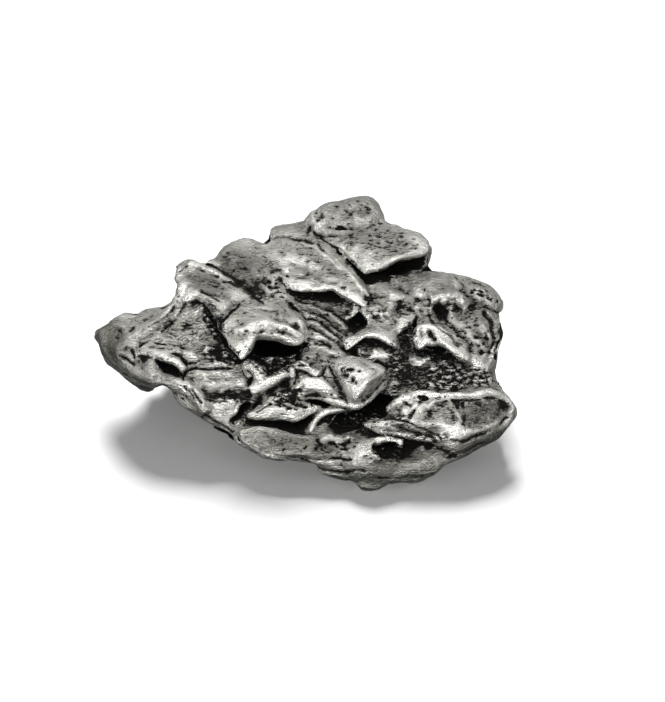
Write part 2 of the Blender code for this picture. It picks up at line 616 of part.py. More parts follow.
# Rims and ribs: grid points (x, y, depth) and radii in steps.
STRANDS = {
    "horn_ridge": (
        [(187, 266, 9), (202, 271, 11), (218, 278, 11), (236, 288, 10), (252, 297, 9)],
        (6, 6, 4),
    ),
    "horn_back_ridge": ([(182, 269, 6), (181, 281, 8), (184, 293, 8), (180, 304, 6)], (6, 6, 6)),
    "horn_fold": ([(187, 290, 12), (189, 300, 7), (184, 312, 3), (174, 324, 0)], (5, 5, 4)),
    "wing_ridge": ([(176, 308, 4), (163, 320, 2), (143, 333, -2), (125, 343, -6)], (7, 8, 8, 8)),
    "wing_inner_rib": ([(193, 305, 4), (190, 322, 0), (186, 345, -4), (190, 360, -2)], (4, 5, 4)),
    "belt": (
        [(120, 347, -10), (127, 360, -8), (140, 371, -4), (158, 379, 0), (178, 384, 2), (190, 387, 4)],
        (8, 9, 9, 8),
    ),
    "belt_tail": ([(190, 387, 4), (198, 398, 4), (206, 412, 0)], (8, 7, 6)),
    "tip_rib": ([(101, 332, -34), (106, 343, -30), (115, 355, -27), (128, 368, -26)], (6, 8, 8, 6)),
    "tip_upper_rib": ([(110, 323, -40), (122, 320, -38), (134, 321, -34)], (5, 6, 5)),
    "pocket_rim": ([(136, 352, -2), (150, 354, 2), (165, 357, 4), (178, 362, 5), (186, 370, 6)], (4, 4, 5)),
    "cheek_band": ([(196, 384, -7), (210, 388, -5), (228, 387, -4), (244, 383, -5)], (8, 9, 9, 8)),
    "cheek_fold": ([(204, 401, -3), (218, 405, -1), (236, 404, -1)], (6, 6.5, 5)),
    "crossbar": ([(250, 392, 3), (258, 389, 4), (268, 384, 5), (279, 378, 5), (289, 371, 4)], (7, 8, 7, 5)),
    "pillar": ([(247, 362, 0), (254, 372, 2), (262, 381, 3)], (7, 9, 8)),
    "bridge_fold": (
        [(291, 380, 10), (293, 371, 11), (300, 367, 12), (312, 372, 11), (320, 380, 9)],
        (5, 6, 5),
    ),
    "bridge_knob": ([(304, 386, 10), (316, 386, 11), (330, 392, 10)], (6, 7, 6)),
    "nose_lip": (
        [
            (297, 401, 3), (306, 397, 4), (320, 397, 5), (332, 401, 7), (345, 404, 9), (354, 406, 10),
            (366, 401, 9), (377, 391, 8), (386, 377, 6),
        ],
        (3.2, 3.2, 3.6, 3.6, 3.2),
    ),
    "curl_strip": (
        [(311, 430, -6), (314, 421, -4), (322, 413, -2), (336, 409, 0), (352, 408, 2)],
        (3.5, 4.5, 4),
    ),
    "ledge_rim": (
        [(240, 434, 4), (256, 430, 5), (274, 431, 7), (290, 436, 7), (310, 438, 6)],
        (3.6, 4, 3.6),
    ),
    "ledge_lower_rim": ([(284, 454, 0), (300, 456, 2), (330, 461, 3), (360, 468, 2)], (4, 5, 7)),
    "ledge_grain": ([(322, 440, 4), (336, 443, 6), (352, 440, 4)], (8, 9, 7)),
    "bottom_band": (
        [
            (318, 462, -4), (345, 468, -2), (372, 471, 0), (400, 470, 0), (430, 464, -2), (458, 452, -6),
            (486, 438, -12),
        ],
        (10, 12, 13, 13, 12, 10, 8),
    ),
    "front_foot": ([(358, 474, -8), (367, 479, -7), (378, 478, -8), (388, 474, -10)], (11, 13, 12, 9)),
    "lobe_top_rim": (
        [
            (403, 399, 14), (420, 395, 16), (447, 397, 18), (470, 397, 17), (490, 395, 12), (505, 401, 4),
            (512, 411, -2),
        ],
        (6, 6, 5.5, 5, 5, 6, 7),
    ),
    "lobe_low_rim": (
        [(456, 437, 10), (466, 435, 11), (478, 432, 11), (492, 427, 8), (504, 419, 3)],
        (4.5, 5, 4.5),
    ),
    "lobe_knob": ([(387, 410, 4), (394, 408, 8), (404, 402, 12)], (4.5, 6, 8)),
    "lobe_left_fold": ([(406, 409, 11), (420, 410, 14), (434, 404, 15), (446, 399, 15)], (6, 7, 6)),
    "lobe_lip": (
        [(364, 424, 6), (380, 430, 10), (400, 433, 12), (420, 437, 12), (438, 439, 10)],
        (3, 3.2, 3),
    ),
    "pocket_lip": (
        [(357, 456, 8), (362, 449, 8), (372, 442, 8), (388, 439, 8), (402, 441, 8)],
        (3, 3.2, 3),
    ),
    "shelf_rim": (
        [(366, 270, 8), (382, 267, 9), (392, 261.5, 9), (408, 257, 9), (424, 254.5, 8)],
        (3, 3.2, 3),
    ),
    "shelf_corner": ([(423, 254, 7), (426, 248, 2), (427, 242, -4)], (3.5, 3, 3)),
    "pocket_plug": ([(146, 364, -2), (152, 367, 0), (159, 371, 1)], (6, 7, 5)),
    "flap_rim": (
        [
            (284, 281, 4), (290, 286, 5), (302, 288, 6), (318, 289, 6), (333, 289, 6), (345, 296, 5),
            (357, 302, 4), (366, 307, 2),
        ],
        (4, 5, 4.5, 4, 3.5),
    ),
    "brow_rim": (
        [(242, 352, 12), (244, 338, 15), (256, 331, 18), (272, 331, 18), (288, 337, 15), (301, 340, 10)],
        (5, 7, 7, 7, 6, 5),
    ),
    "brow_right_rim": ([(285, 322, 17), (298, 321, 13), (304, 331, 9), (304, 342, 8)], (4, 4, 4)),
    "fin_rim": ([(350, 339, 8), (362, 336, 10), (376, 336, 10), (388, 341, 8), (396, 347, 5)], (3.5, 4, 4)),
    "right_brow_rim": (
        [(415, 344, 4), (420, 333, 7), (429, 328, 9), (442, 333, 9), (455, 343, 7), (464, 354, 3)],
        (5, 6, 7, 6, 5),
    ),
    "right_lumpy_ridge": ([(430, 300, 6), (445, 297, 8), (458, 299, 6), (468, 308, 2)], (6, 7, 6)),
    "right_edge_rim": (
        [(480, 326, 2), (489, 336, 0), (492, 350, -2), (488, 362, -4), (478, 370, -6)], (5, 6, 5),
    ),
}

# Creases and welts drawn on the face: grid points, half width, and height (below the skin when negative).
STROKES = {
    "flap_crease": ([(298, 249), (306, 255), (319, 262)], 1.5, -1.3),
    "flap_welt": ([(303, 241), (322, 251), (345, 272), (362, 291)], 3.0, 1.8),
    "flap_back_crease": ([(318, 243), (336, 262), (352, 282), (366, 298)], 1.6, -1.2),
    "flap_low_crease": ([(286, 277), (305, 279), (325, 284), (345, 290)], 2.2, -1.4),
    "shelf_root": ([(322, 236), (335, 245), (345, 253), (352, 262), (361, 273)], 1.6, -1.6),
    "shelf_step": ([(333, 224), (340, 222.5), (348, 222)], 2.0, 1.2),
    "shelf_rim": ([(364, 270), (384, 267), (391, 262), (402, 258.5), (424, 254)], 2.2, 1.8),
    "crest_fold": ([(308, 232), (312, 222), (322, 216)], 2.0, -1.4),
    "crest_line": ([(311, 208), (313, 220), (318, 230)], 3.0, 1.5),
    "lobe_back_fold": ([(271, 238), (284, 236), (300, 238), (312, 243)], 2.2, -1.6),
    "saddle_root": ([(206, 265), (222, 271), (237, 281), (250, 291), (263, 300)], 1.8, -1.4),
    "horn_inner": ([(181, 273), (186, 267), (194, 266), (206, 271), (216, 274)], 2.4, -1.4),
    "horn_slit": ([(222, 281), (229, 281), (237, 284)], 1.6, -1.6),
    "horn_low_slit": ([(202, 291), (211, 295), (219, 302)], 1.8, -1.6),
    "wing_crease": ([(187, 299), (182, 312), (173, 323), (162, 332)], 2.0, -1.3),
    "wing_outer_crease": ([(178, 303), (168, 315), (152, 325), (136, 333)], 2.0, -1.3),
    "wing_shelf": ([(146, 348), (163, 352), (180, 351), (196, 356)], 3.4, 2.0),
    "wing_low_line": ([(141, 346), (150, 341), (160, 343), (176, 346)], 1.8, -1.2),
    "tip_slit": ([(121, 356.5), (128, 359), (134, 363)], 2.0, -3.2),
    "tip_fold": ([(117, 338), (122, 340), (128, 335), (133, 328)], 2.4, -2.0),
    "tip_welt": ([(112, 322), (124, 328), (128, 336)], 3.4, 1.8),
    "belt_slit": ([(132, 350), (134, 353), (135, 356)], 1.6, -2.6),
    "long_crack": (
        [(183, 378), (188, 371), (197, 367.5), (208, 368.5), (220, 368.5), (232, 367)], 1.2, -4.0,
    ),
    "cheek_slit": ([(193, 388), (196, 394), (200, 401)], 1.8, -3.4),
    "cheek_small_slit": ([(184, 386), (190, 391), (193, 396)], 1.9, -2.8),
    "cheek_low_line": ([(203, 416), (216, 424), (230, 431)], 2.0, -4.0),
    "crossbar_line": ([(250, 397), (262, 395), (272, 390), (288, 379)], 1.8, -1.6),
    "pillar_fold": ([(247, 371), (251, 376), (249, 384)], 1.8, -2.6),
    "brow_upper_line": ([(222, 321), (232, 313), (241, 304)], 1.5, -1.4),
    "brow_left_line": ([(219, 318), (222, 332), (230, 345), (238, 356)], 1.4, -1.6),
    "brow_lip": ([(238, 332), (254, 324), (272, 322), (288, 328), (301, 336)], 4.0, 2.4),
    "brow_lip_groove": ([(254, 332), (268, 331), (282, 333)], 1.8, -1.8),
    "brow_top_lines": ([(244, 312), (262, 308), (280, 312)], 1.8, -1.0),
    "brow_back_fold": ([(290, 306), (300, 313), (306, 322)], 2.2, -1.6),
    "strip_groove_one": ([(296, 300), (316, 306), (334, 314), (350, 326)], 1.3, -1.2),
    "strip_groove_two": ([(300, 309), (317, 315), (334, 325), (346, 335)], 1.4, -1.4),
    "strip_groove_three": ([(303, 318), (318, 322), (332, 332), (344, 343)], 1.3, -1.1),
    "strip_groove_four": ([(306, 328), (320, 332), (333, 341), (342, 349)], 1.4, -1.3),
    "strip_groove_five": ([(308, 338), (320, 341), (332, 348)], 1.2, -1.0),
    "strip_ridge": ([(300, 304), (318, 310), (336, 320), (348, 331)], 2.0, 1.2),
    "strip_low_ridge": ([(305, 323), (320, 327), (335, 338)], 2.0, 1.2),
    "lip_crease": ([(368, 421), (385, 424), (402, 427.5), (420, 432)], 1.3, -2.2),
    "lip_upper_crease": ([(384, 419), (400, 420), (416, 424), (432, 431)], 1.3, -1.8),
    "dish_line": ([(462, 404), (464, 414), (461, 424)], 1.4, -1.2),
    "fin_crease": ([(346, 334), (360, 327), (376, 325), (388, 330)], 2.2, -1.2),
    "nose_edge": ([(303, 350), (322, 349), (345, 354), (368, 360), (384, 369)], 3.0, 1.8),
    "nose_facet": ([(384, 371), (376, 377), (366, 384), (357, 397)], 2.2, 1.8),
    "nose_flank": ([(381, 380), (373, 389), (364, 396)], 5.0, -2.2),
    "spear_fold": ([(258, 412), (272, 403), (286, 400), (304, 406)], 1.6, -1.8),
    "nose_valley": ([(329, 367), (335, 378), (341, 388)], 1.2, -1.6),
    "bridge_left_fold": ([(291, 366), (296, 374), (293, 384)], 1.8, -2.4),
    "bridge_fold_line": ([(304, 374), (312, 377), (322, 375), (326, 366)], 2.0, -1.8),
    "spear_line": ([(262, 404), (276, 404), (290, 408)], 2.0, -1.8),
    "spear_ridge": ([(252, 414), (268, 409), (284, 411), (300, 410)], 3.0, 1.6),
    "ledge_fold": ([(262, 446), (275, 453), (300, 456), (350, 458)], 1.8, -1.4),
    "ledge_left_line": ([(236, 436), (246, 444), (256, 452)], 2.0, -2.2),
    "band_dark_line": ([(302, 459), (322, 469), (345, 472), (364, 470)], 2.0, -2.6),
    "band_lower_line": ([(358, 475), (376, 478), (396, 478), (420, 475)], 1.6, -1.4),
    "band_right_line": ([(446, 456), (464, 450), (482, 444)], 1.8, -2.0),
    "lobe_edge_line": ([(452, 440), (470, 438), (490, 431), (508, 418)], 2.0, -2.6),
    "lobe_hollow": ([(462, 411), (478, 414), (497, 412)], 13.0, -2.6),
    "lobe_ridge_line": ([(446, 397), (452, 405), (457, 414), (461, 422)], 2.0, 1.0),
    "lobe_crack": ([(420, 402), (415, 409), (410, 417)], 1.8, -2.4),
    "lobe_top_slit": ([(419, 397), (423, 399), (427, 398)], 1.8, -2.6),
    "right_brow_edge": ([(418, 309), (420, 321), (416, 338)], 2.4, 1.6),
    "right_brow_line": ([(430, 316), (444, 329), (459, 345)], 2.0, -2.4),
    "right_slope_line": ([(440, 312), (455, 329), (470, 344)], 2.0, -2.0),
    "right_edge_groove": ([(486, 312), (492, 322), (494, 338), (491, 352)], 2.2, -2.6),
    "lobe_second_hollow": ([(430, 412), (440, 411), (449, 417)], 7.0, -2.0),
    "lobe_bright_fold": ([(446, 398), (436, 401), (428, 406)], 2.4, 1.2),
    "bridge_low_fold": ([(297, 389), (303, 382), (315, 379), (326, 384), (337, 394)], 2.6, 1.8),
    "right_top_groove": ([(456, 277), (463, 286), (466, 298)], 2.0, -1.6),
}

# Pits and small knobs on the face: grid place, radius and height in steps.
PITS = {
    "rough_nuggets": [
        (256, 276, 4.6, 2.6), (264, 271, 4.4, 2.8), (271, 278, 4.4, 2.6), (262, 285, 4.2, 2.4),
        (269, 291, 4.0, 2.2), (277, 275, 3.6, 2.2), (276, 291, 3.6, 2.2),
    ],
    "strip_nuggets": [
        (347, 317, 2.6, 1.6), (355, 307, 2.6, 1.4), (364, 306, 3.2, 2.0), (369, 315, 2.6, 1.6),
        (375, 312, 2.8, 2.2), (381, 313, 2.8, 2.2), (387, 313, 2.4, 2.0),
    ],
    "brow": [(296, 326, 4.6, -3.6)],
    "nose": [
        (345, 374, 3.6, -3.2), (341, 368, 2.2, -2.0), (353, 379, 2.4, -2.2), (356, 382, 1.8, -1.6),
        (360, 372, 2.0, -1.8), (349, 369, 1.8, -1.6),
    ],
    "right_brow": [(430, 333, 3.2, -3.6), (433, 338, 2.8, -2.8)],
    "right_saddle": [
        (456, 296, 3.4, 2.2), (462, 304, 3.6, 2.2), (448, 296, 3.4, 1.8), (444, 302, 3.0, 1.8),
        (453, 308, 3.0, 2.0), (427, 302, 3.0, 1.4),
    ],
    "right_edge": [(482, 353, 3.2, -2.6), (470, 352, 2.6, -2.0), (493, 350, 3.0, 1.6)],
    "lobe": [
        (426, 446, 4.4, -4.2), (398, 445, 3.2, 3.0), (371, 453, 4.0, 3.0), (423, 398, 2.8, -2.4),
        (409, 399, 4.0, 2.4), (418, 407, 4.4, 2.2), (406, 411, 3.4, 1.8),
    ],
    "left": [(152, 366, 6.0, 3.0), (160, 371, 4.0, 2.6), (226, 354, 3.4, 2.0), (208, 350, 3.0, 1.8)],
    "spear": [(265, 396, 3.6, 2.2), (286, 396, 3.8, 2.2), (294, 399, 2.6, -2.0)],
    "ledge": [
        (330, 434, 3.4, 2.0), (338, 439, 3.6, 2.0), (323, 439, 3.2, 1.8), (348, 436, 3.2, 1.8),
        (331, 444, 2.6, -2.0), (316, 446, 2.6, -1.6),
    ],
}


def new_object(name, shape):
    mesh = bpy.data.meshes.new(name)
    shape.to_mesh(mesh)
    shape.free()
    made = bpy.data.objects.new(name, mesh)
    bpy.context.scene.collection.objects.link(made)
    return made


def settle(made):
    """Applies an object's modifiers to its mesh."""
    graph = bpy.context.evaluated_depsgraph_get()
    mesh = bpy.data.meshes.new_from_object(made.evaluated_get(graph))
    made.modifiers.clear()
    made.data = mesh
    return made


def fuse(made, voxel):
    """Melts overlapping closed shapes into one skin."""
    remesh = made.modifiers.new("Fuse", "REMESH")
    remesh.mode = "VOXEL"
    remesh.voxel_size = voxel
    return settle(made)


def smoothed(made, times):
    smooth = made.modifiers.new("Smooth", "SMOOTH")
    smooth.factor = 0.5
    smooth.iterations = times
    return settle(made)


def cut_away(body, shape):
    """Cuts a set of closed shapes from a body."""
    cutter = fuse(new_object("cutter", shape), BODY_VOXEL)
    places = places_of(cutter.data)
    ragged = np.column_stack([swell(places, 1.6, seed) for seed in (81, 82, 83)])
    put_places(cutter.data, places + CUT_RAGGEDNESS * ragged)
    cut = body.modifiers.new("Cut", "BOOLEAN")
    cut.operation = "DIFFERENCE"
    cut.object = cutter
    settle(body)
    bpy.data.objects.remove(cutter)
    return body


def places_of(mesh):
    places = np.empty(len(mesh.vertices) * 3)
    mesh.vertices.foreach_get("co", places)
    return places.reshape(-1, 3)


def facings_of(mesh):
    facings = np.empty(len(mesh.vertices) * 3)
    mesh.vertices.foreach_get("normal", facings)
    return facings.reshape(-1, 3)


def put_places(mesh, places):
    mesh.vertices.foreach_set("co", places.ravel())
    mesh.update()


def swell(places, size, seed):
    """Smooth random heights, about -1 to 1, whose bumps are roughly that size in millimetres."""
    shifted = places / size + (seed * 17.3, seed * 5.9, seed * 11.1)
    return np.array([noise.noise(place) for place in shifted.tolist()]) * NOISE_REACH


def turned_away(count, seed):
    """Evenly spread directions round the stone, a little disordered."""
    chance = np.random.default_rng(seed)
    golden = math.pi * (3 - math.sqrt(5))
    for turn in range(count):
        rise = 1 - 2 * (turn + 0.5) / count
        flat = math.sqrt(1 - rise * rise)
        way = np.array((flat * math.cos(turn * golden), flat * math.sin(turn * golden), rise))
        way += chance.normal(0, DIRECTION_SCATTER, 3)
        yield way / np.linalg.norm(way), chance


def skin_spot(tree, way):
    """Where the line in from a direction meets the skin, and the way that the skin faces there."""
    far = STONE_WIDTH * 2 * way * HEART_STRETCH + HEART_MIDDLE
    hit, facing, _, _ = tree.ray_cast(far, HEART_MIDDLE - far)
    return np.array(hit), np.array(facing)


def ragged_round(size, chance):
    """A closed loop of offsets, about as far out as its size but uneven."""
    wobble = chance.uniform(0.7, 1.3, 9)
    angles = np.linspace(0, 2 * math.pi, len(wobble), endpoint=False)
    corners = size * wobble[:, None] * np.column_stack((1.3 * np.cos(angles), np.sin(angles)))
    return smooth_run(corners, closed=True)


def clear_of_ground(place, facing):
    """Whether a spot is well above the ground, or faces it squarely."""
    return place[2] > LOW_EDGE * STEP or facing[2] < -0.85


def add_hidden_scales(shape, tree):
    """Overlapping flakes over the back and the underside, their free edges turned towards the ground."""
    for way, chance in turned_away(SCALE_COUNT, seed=11):
        size, lift = chance.uniform(*SCALE_SIZES), chance.uniform(*SCALE_LIFTS)
        loop = ragged_round(size, chance)
        uphill = SCALE_UPHILL + chance.normal(0, 0.5, 3)
        place, facing = skin_spot(tree, way)
        if facing @ NEAR < HIDDEN_LIMIT and clear_of_ground(place, facing):
            sunk = place - STEP * 0.06 * size * facing
            add_scale(shape, sunk, facing, uphill, loop, SCALE_THICKNESS * size, lift, 3.5)


def hidden_folds(tree):
    """Lines in millimetres, with radii in steps, that wander over the skin of the hidden sides."""
    for way, chance in turned_away(FOLD_COUNT, seed=31):
        place, facing = skin_spot(tree, way)
        heading, turn = chance.normal(0, 1, 3), chance.normal(0, 0.5)
        radius = chance.uniform(*FOLD_RADII)
        line = []
        while len(line) < FOLD_POINTS and facing @ NEAR < HIDDEN_LIMIT:
            line.append(place - STEP * 0.3 * radius * facing)
            heading = heading - (heading @ facing) * facing + turn * np.cross(facing, heading)
            heading /= np.linalg.norm(heading)
            place, facing, _, _ = tree.find_nearest(place + STEP * 10 * heading)
            place, facing = np.array(place), np.array(facing)
        if len(line) > 3:
            yield smooth_run(line, closed=False, between=4), (0.6 * radius, radius, radius, 0.5 * radius)


def add_thumbprints(shape, tree):
    """Shallow uneven scoops on the hidden sides."""
    for way, chance in turned_away(SCOOP_COUNT, seed=5):
        size, depth = chance.uniform(*SCOOP_SIZES), chance.uniform(*SCOOP_DEPTHS)
        loop = ragged_round(size, chance)
        uphill = chance.normal(0, 1, 3)
        place, facing = skin_spot(tree, way)
        if facing @ NEAR < HIDDEN_LIMIT and clear_of_ground(place, facing):
            middle = place + STEP * 0.4 * depth * facing
            add_scale(shape, middle, facing, uphill, loop, 2.8 * depth, 0.0, 2.0)


def rest_on_ground(mesh):
    """Flattens the heart's underside onto uneven ground."""
    places = places_of(mesh)
    level = places * (1, 1, 0)
    ground = STEP * (FLOOR_STEPS + UNDER_CLEARANCE + UNDER_UNEVENNESS * swell(level, 9.0, seed=3))
    above = (places[:, 2] - ground) / GROUND_SOFTNESS
    places[:, 2] = ground + GROUND_SOFTNESS * np.logaddexp(0, above)
    put_places(mesh, places)


def heart():
    """The heart of the stone, scaled and scooped on its hidden sides, with the face's pockets cut in."""
    shape = bmesh.new()
    for middle, radii, turn in HEART.values():
        add_lump(shape, middle, radii, turn)
    for flake in INNER_FLAKES.values():
        add_flake(shape, **flake)
    body = fuse(new_object("heart", shape), BODY_VOXEL)
    rest_on_ground(body.data)
    shape = bmesh.new()
    shape.from_mesh(body.data)
    tree = BVHTree.FromBMesh(shape)
    add_hidden_scales(shape, tree)
    shape.from_mesh(strands_mesh(hidden_folds(tree)))
    for middle, radii, turn in FEET.values():
        add_lump(shape, middle, radii, turn)
    bpy.data.objects.remove(body)
    body = fuse(new_object("heart", shape), BODY_VOXEL)
    shape = bmesh.new()
    add_thumbprints(shape, tree)
    for pocket in POCKETS.values():
        add_flake(shape, **pocket)
    return smoothed(cut_away(body, shape), 2)


def face_strands():
    """The face's rims and ribs as lines in millimetres."""
    for points, radii in STRANDS.values():
        line = smooth_run([(x, y, slope_depth(y) + depth) for x, y, depth in points], closed=False)
        yield face_place(*line.T), radii


def near_line(x, y, points):
    """Distances on the grid from places to a line through points."""
    line = smooth_run(points, closed=False, between=3)
    nearest = np.full(len(x), np.inf)
    for (ax, ay), (bx, by) in zip(line, line[1:]):
        dx, dy = bx - ax, by - ay
        share = np.clip(((x - ax) * dx + (y - ay) * dy) / (dx * dx + dy * dy), 0, 1)
        nearest = np.minimum(nearest, (x - ax - share * dx) ** 2 + (y - ay - share * dy) ** 2)
    return np.sqrt(nearest)


def dome(distance, reach):
    """A round bump of height 1 that fades out at its reach."""
    return np.clip(1 - (distance / reach) ** 2, 0, 1) ** 2


def ramp(values, low, high):
    share = np.clip((values - low) / (high - low), 0, 1)
    return share * share * (3 - 2 * share)


def face_relief(places, x, y):
    """Heights in steps of the creases, welts and pits drawn on the face, with unsteady lines and depths."""
    x, y = (value + LINE_WANDER * swell(places, 1.7, seed) for value, seed in ((x, 51), (y, 52)))
    unsteady = LINE_STRENGTH * (1 + 0.5 * swell(places, 2.5, seed=53))
    relief = np.zeros(len(x))
    for points, width, height in STROKES.values():
        relief += height * unsteady * dome(near_line(x, y, points), width * LINE_FADE)
    for pits in PITS.values():
        for px, py, radius, height in pits:
            relief += height * dome(np.hypot(x - px, y - py), radius * LINE_FADE)
    return np.clip(relief, -6, 5)


def layers(places, facings):
    """The worn edges of thin layers round the sides, as a patchy rise and drop repeated up the stone."""
    height = places @ np.array((0.15, -0.4, 1.0)) / 2.2 + 1.3 * swell(places, 6.0, seed=4)
    share = height % 1.0
    steps = np.where(share < 0.75, share / 0.75, (1 - share) / 0.25) * 2 - 1
    patches = np.clip(0.3 + 1.2 * swell(places, 9.0, seed=12), 0, 1)
    return steps * patches * np.clip(1.4 - 1.6 * np.abs(facings[:, 2]), 0, 1)


def neighbours(mesh):
    """The two ends of every edge, and how many edges each vertex has."""
    ends = np.empty(len(mesh.edges) * 2, dtype=np.int32)
    mesh.edges.foreach_get("vertices", ends)
    return ends.reshape(-1, 2), np.bincount(ends, minlength=len(mesh.vertices))


def averaged(values, ends, counts):
    """The mean over each vertex's neighbours, per column of the values."""
    total = [
        np.bincount(ends[:, 0], column[ends[:, 1]], len(values))
        + np.bincount(ends[:, 1], column[ends[:, 0]], len(values))
        for column in values.T
    ]
    return np.column_stack(total) / counts[:, None]


def fill_upper_creases(mesh, times):
    """Grows the creases that look uphill outwards, which melts each fold's root into the stone above it."""
    ends, counts = neighbours(mesh)
    for _ in range(times):
        places, facings = places_of(mesh), facings_of(mesh)
        rise = np.einsum("ij,ij->i", averaged(places, ends, counts) - places, facings)
        share = ramp(facings @ UP, 0.05, 0.55) * ramp(facings @ NEAR, -0.2, 0.2)
        put_places(mesh, places + (0.7 * share * np.maximum(rise, 0))[:, None] * facings)


def keep_inside_edge(mesh):
    """Draws in whatever would show past the outer edge, as the face's viewer sees it."""
    places = places_of(mesh)
    x, y, near = grid_of(places)
    edge = np.array(OUTER_EDGE, float)
    nearest, foot_x, foot_y = np.full(len(x), np.inf), x.copy(), y.copy()
    inside = np.zeros(len(x), bool)
    for (ax, ay), (bx, by) in zip(edge, np.roll(edge, -1, axis=0)):
        dx, dy = bx - ax, by - ay
        share = np.clip(((x - ax) * dx + (y - ay) * dy) / (dx * dx + dy * dy), 0, 1)
        gap = np.hypot(x - ax - share * dx, y - ay - share * dy)
        closer = gap < nearest
        nearest[closer] = gap[closer]
        foot_x[closer], foot_y[closer] = (ax + share * dx)[closer], (ay + share * dy)[closer]
        if dy:
            inside ^= ((ay > y) != (by > y)) & (x < ax + (y - ay) * dx / dy)
    past = np.where(inside, -nearest, nearest)
    held = -EDGE_SOFTNESS * np.logaddexp(0, -past / EDGE_SOFTNESS)
    moved = (past > -4 * EDGE_SOFTNESS) & (nearest > 0.01)
    scale = np.where(moved, held / np.where(nearest > 0.01, past, 1), 1)
    x = np.where(moved, foot_x + scale * (x - foot_x), x)
    y = np.where(moved, foot_y + scale * (y - foot_y), y)
    put_places(mesh, face_place(x, y, near))


def weather(mesh):
    """Warps the skin a little, then raises and sinks it by its folds, creases, layers and pits."""
    places, facings = places_of(mesh), facings_of(mesh)
    x, y, _ = grid_of(places)
    shown = np.clip(facings @ NEAR / 0.35, 0, 1)
    lift = SKIN_WAVES * swell(places, 3.4, seed=1) + SKIN_RIPPLES * swell(places, 1.3, seed=2)
    lift += STEP * face_relief(places, x, y) * shown
    sides = SIDE_LAYERS * layers(places, facings) + SIDE_RIPPLES * swell(places, 2.0, seed=6)
    lift += sides * (1 - shown)
    warp = np.column_stack([swell(places, 8.0, seed) for seed in (7, 8, 9)])
    put_places(mesh, places + lift[:, None] * facings + SKIN_WARP * warp)


def drop_crumbs(shape):
    """Takes away every loose piece but the largest."""
    left = set(shape.verts)
    pieces = []
    while left:
        piece, edge_on = set(), [left.pop()]
        while edge_on:
            vert = edge_on.pop()
            piece.add(vert)
            around = {edge.other_vert(vert) for edge in vert.link_edges} & left
            left -= around
            edge_on.extend(around)
        pieces.append(piece)
    pieces.sort(key=len)
    crumbs = [vert for piece in pieces[:-1] for vert in piece]
    bmesh.ops.delete(shape, geom=crumbs, context="VERTS")


def trim_at_ground(mesh, ground):
    """Cuts off everything below the ground, leaving a flat facet under each foot."""
    shape = bmesh.new()
    shape.from_mesh(mesh)
    parts = shape.verts[:] + shape.edges[:] + shape.faces[:]
    plane = dict(plane_co=(0, 0, ground), plane_no=(0, 0, 1))
    bmesh.ops.bisect_plane(shape, geom=parts, dist=1e-5, clear_inner=True, **plane)
    open_edges = [edge for edge in shape.edges if edge.is_boundary]
    bmesh.ops.triangle_fill(shape, edges=open_edges, use_beauty=True, normal=(0, 0, -1))
    drop_crumbs(shape)
    bmesh.ops.recalc_face_normals(shape, faces=shape.faces)
    shape.to_mesh(mesh)
    shape.free()
    mesh.update()


def thin(made, triangles):
    """Brings a mesh down to about this many triangles."""
    decimate = made.modifiers.new("Thin", "DECIMATE")
    decimate.ratio = triangles / sum(len(face.vertices) - 2 for face in made.data.polygons)
    decimate.use_collapse_triangulate = True
    return settle(made)


def rough_stone(voxel):
    """The heart with every outer flake, rim and rib grown onto it, in millimetres."""
    body = heart()
    shape = bmesh.new()
    shape.from_mesh(body.data)
    bpy.data.objects.remove(body)
    for flake in OUTER_FLAKES.values():
        add_flake(shape, **flake)
    shape.from_mesh(strands_mesh(face_strands()))
    stone = smoothed(fuse(new_object("meteorite", shape), voxel), 2)
    fill_upper_creases(stone.data, round(FILL_SPREAD / voxel**2))
    keep_inside_edge(stone.data)
    return stone


def finished_stone(voxel, triangles=None):
    """The weathered stone, standing on flat facets, in millimetres."""
    stone = rough_stone(voxel)
    weather(stone.data)
    if triangles:
        thin(stone, triangles)
    trim_at_ground(stone.data, FLOOR_STEPS * STEP)
    return stone


def stone_metal():
    metal = bpy.data.materials.new("polished iron")
    metal.use_nodes = True
    surface = metal.node_tree.nodes["Principled BSDF"]
    surface.inputs["Base Color"].default_value = (0.50, 0.49, 0.47, 1.0)
    surface.inputs["Roughness"].default_value = 0.32
    surface.inputs["Metallic"].default_value = 1.0
    return metal


def stand_on_origin(mesh):
    """Moves the mesh so that its box stands centred over the origin, and turns millimetres into metres."""
    places = places_of(mesh)
    low, high = places.min(axis=0), places.max(axis=0)
    put_places(mesh, (places - ((low[0] + high[0]) / 2, (low[1] + high[1]) / 2, low[2])) * MM)


def main():
    for old in list(bpy.data.objects):
        bpy.data.objects.remove(old)
    stone = finished_stone(SOLID_VOXEL, SOLID_TRIANGLES)
    stand_on_origin(stone.data)
    stone.data.shade_smooth()
    stone.data.materials.append(stone_metal())


main()
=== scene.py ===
"""The looks of an iron meteorite: its whole skin, polished on the rims with painted highlights there too,
and black in the hollows with crust and painted shade.

The face is laid out on a grid of small steps, as it is seen from in front and 35 degrees above: x runs
right, y runs down, and the third value is how much nearer than the sloping mean face a thing lies. The
heart, its feet and the sides that the face hides are laid out along the frame's own axes.
"""

import math

import bmesh
import bpy
import numpy as np
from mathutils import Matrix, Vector, kdtree, noise
from mathutils.bvhtree import BVHTree


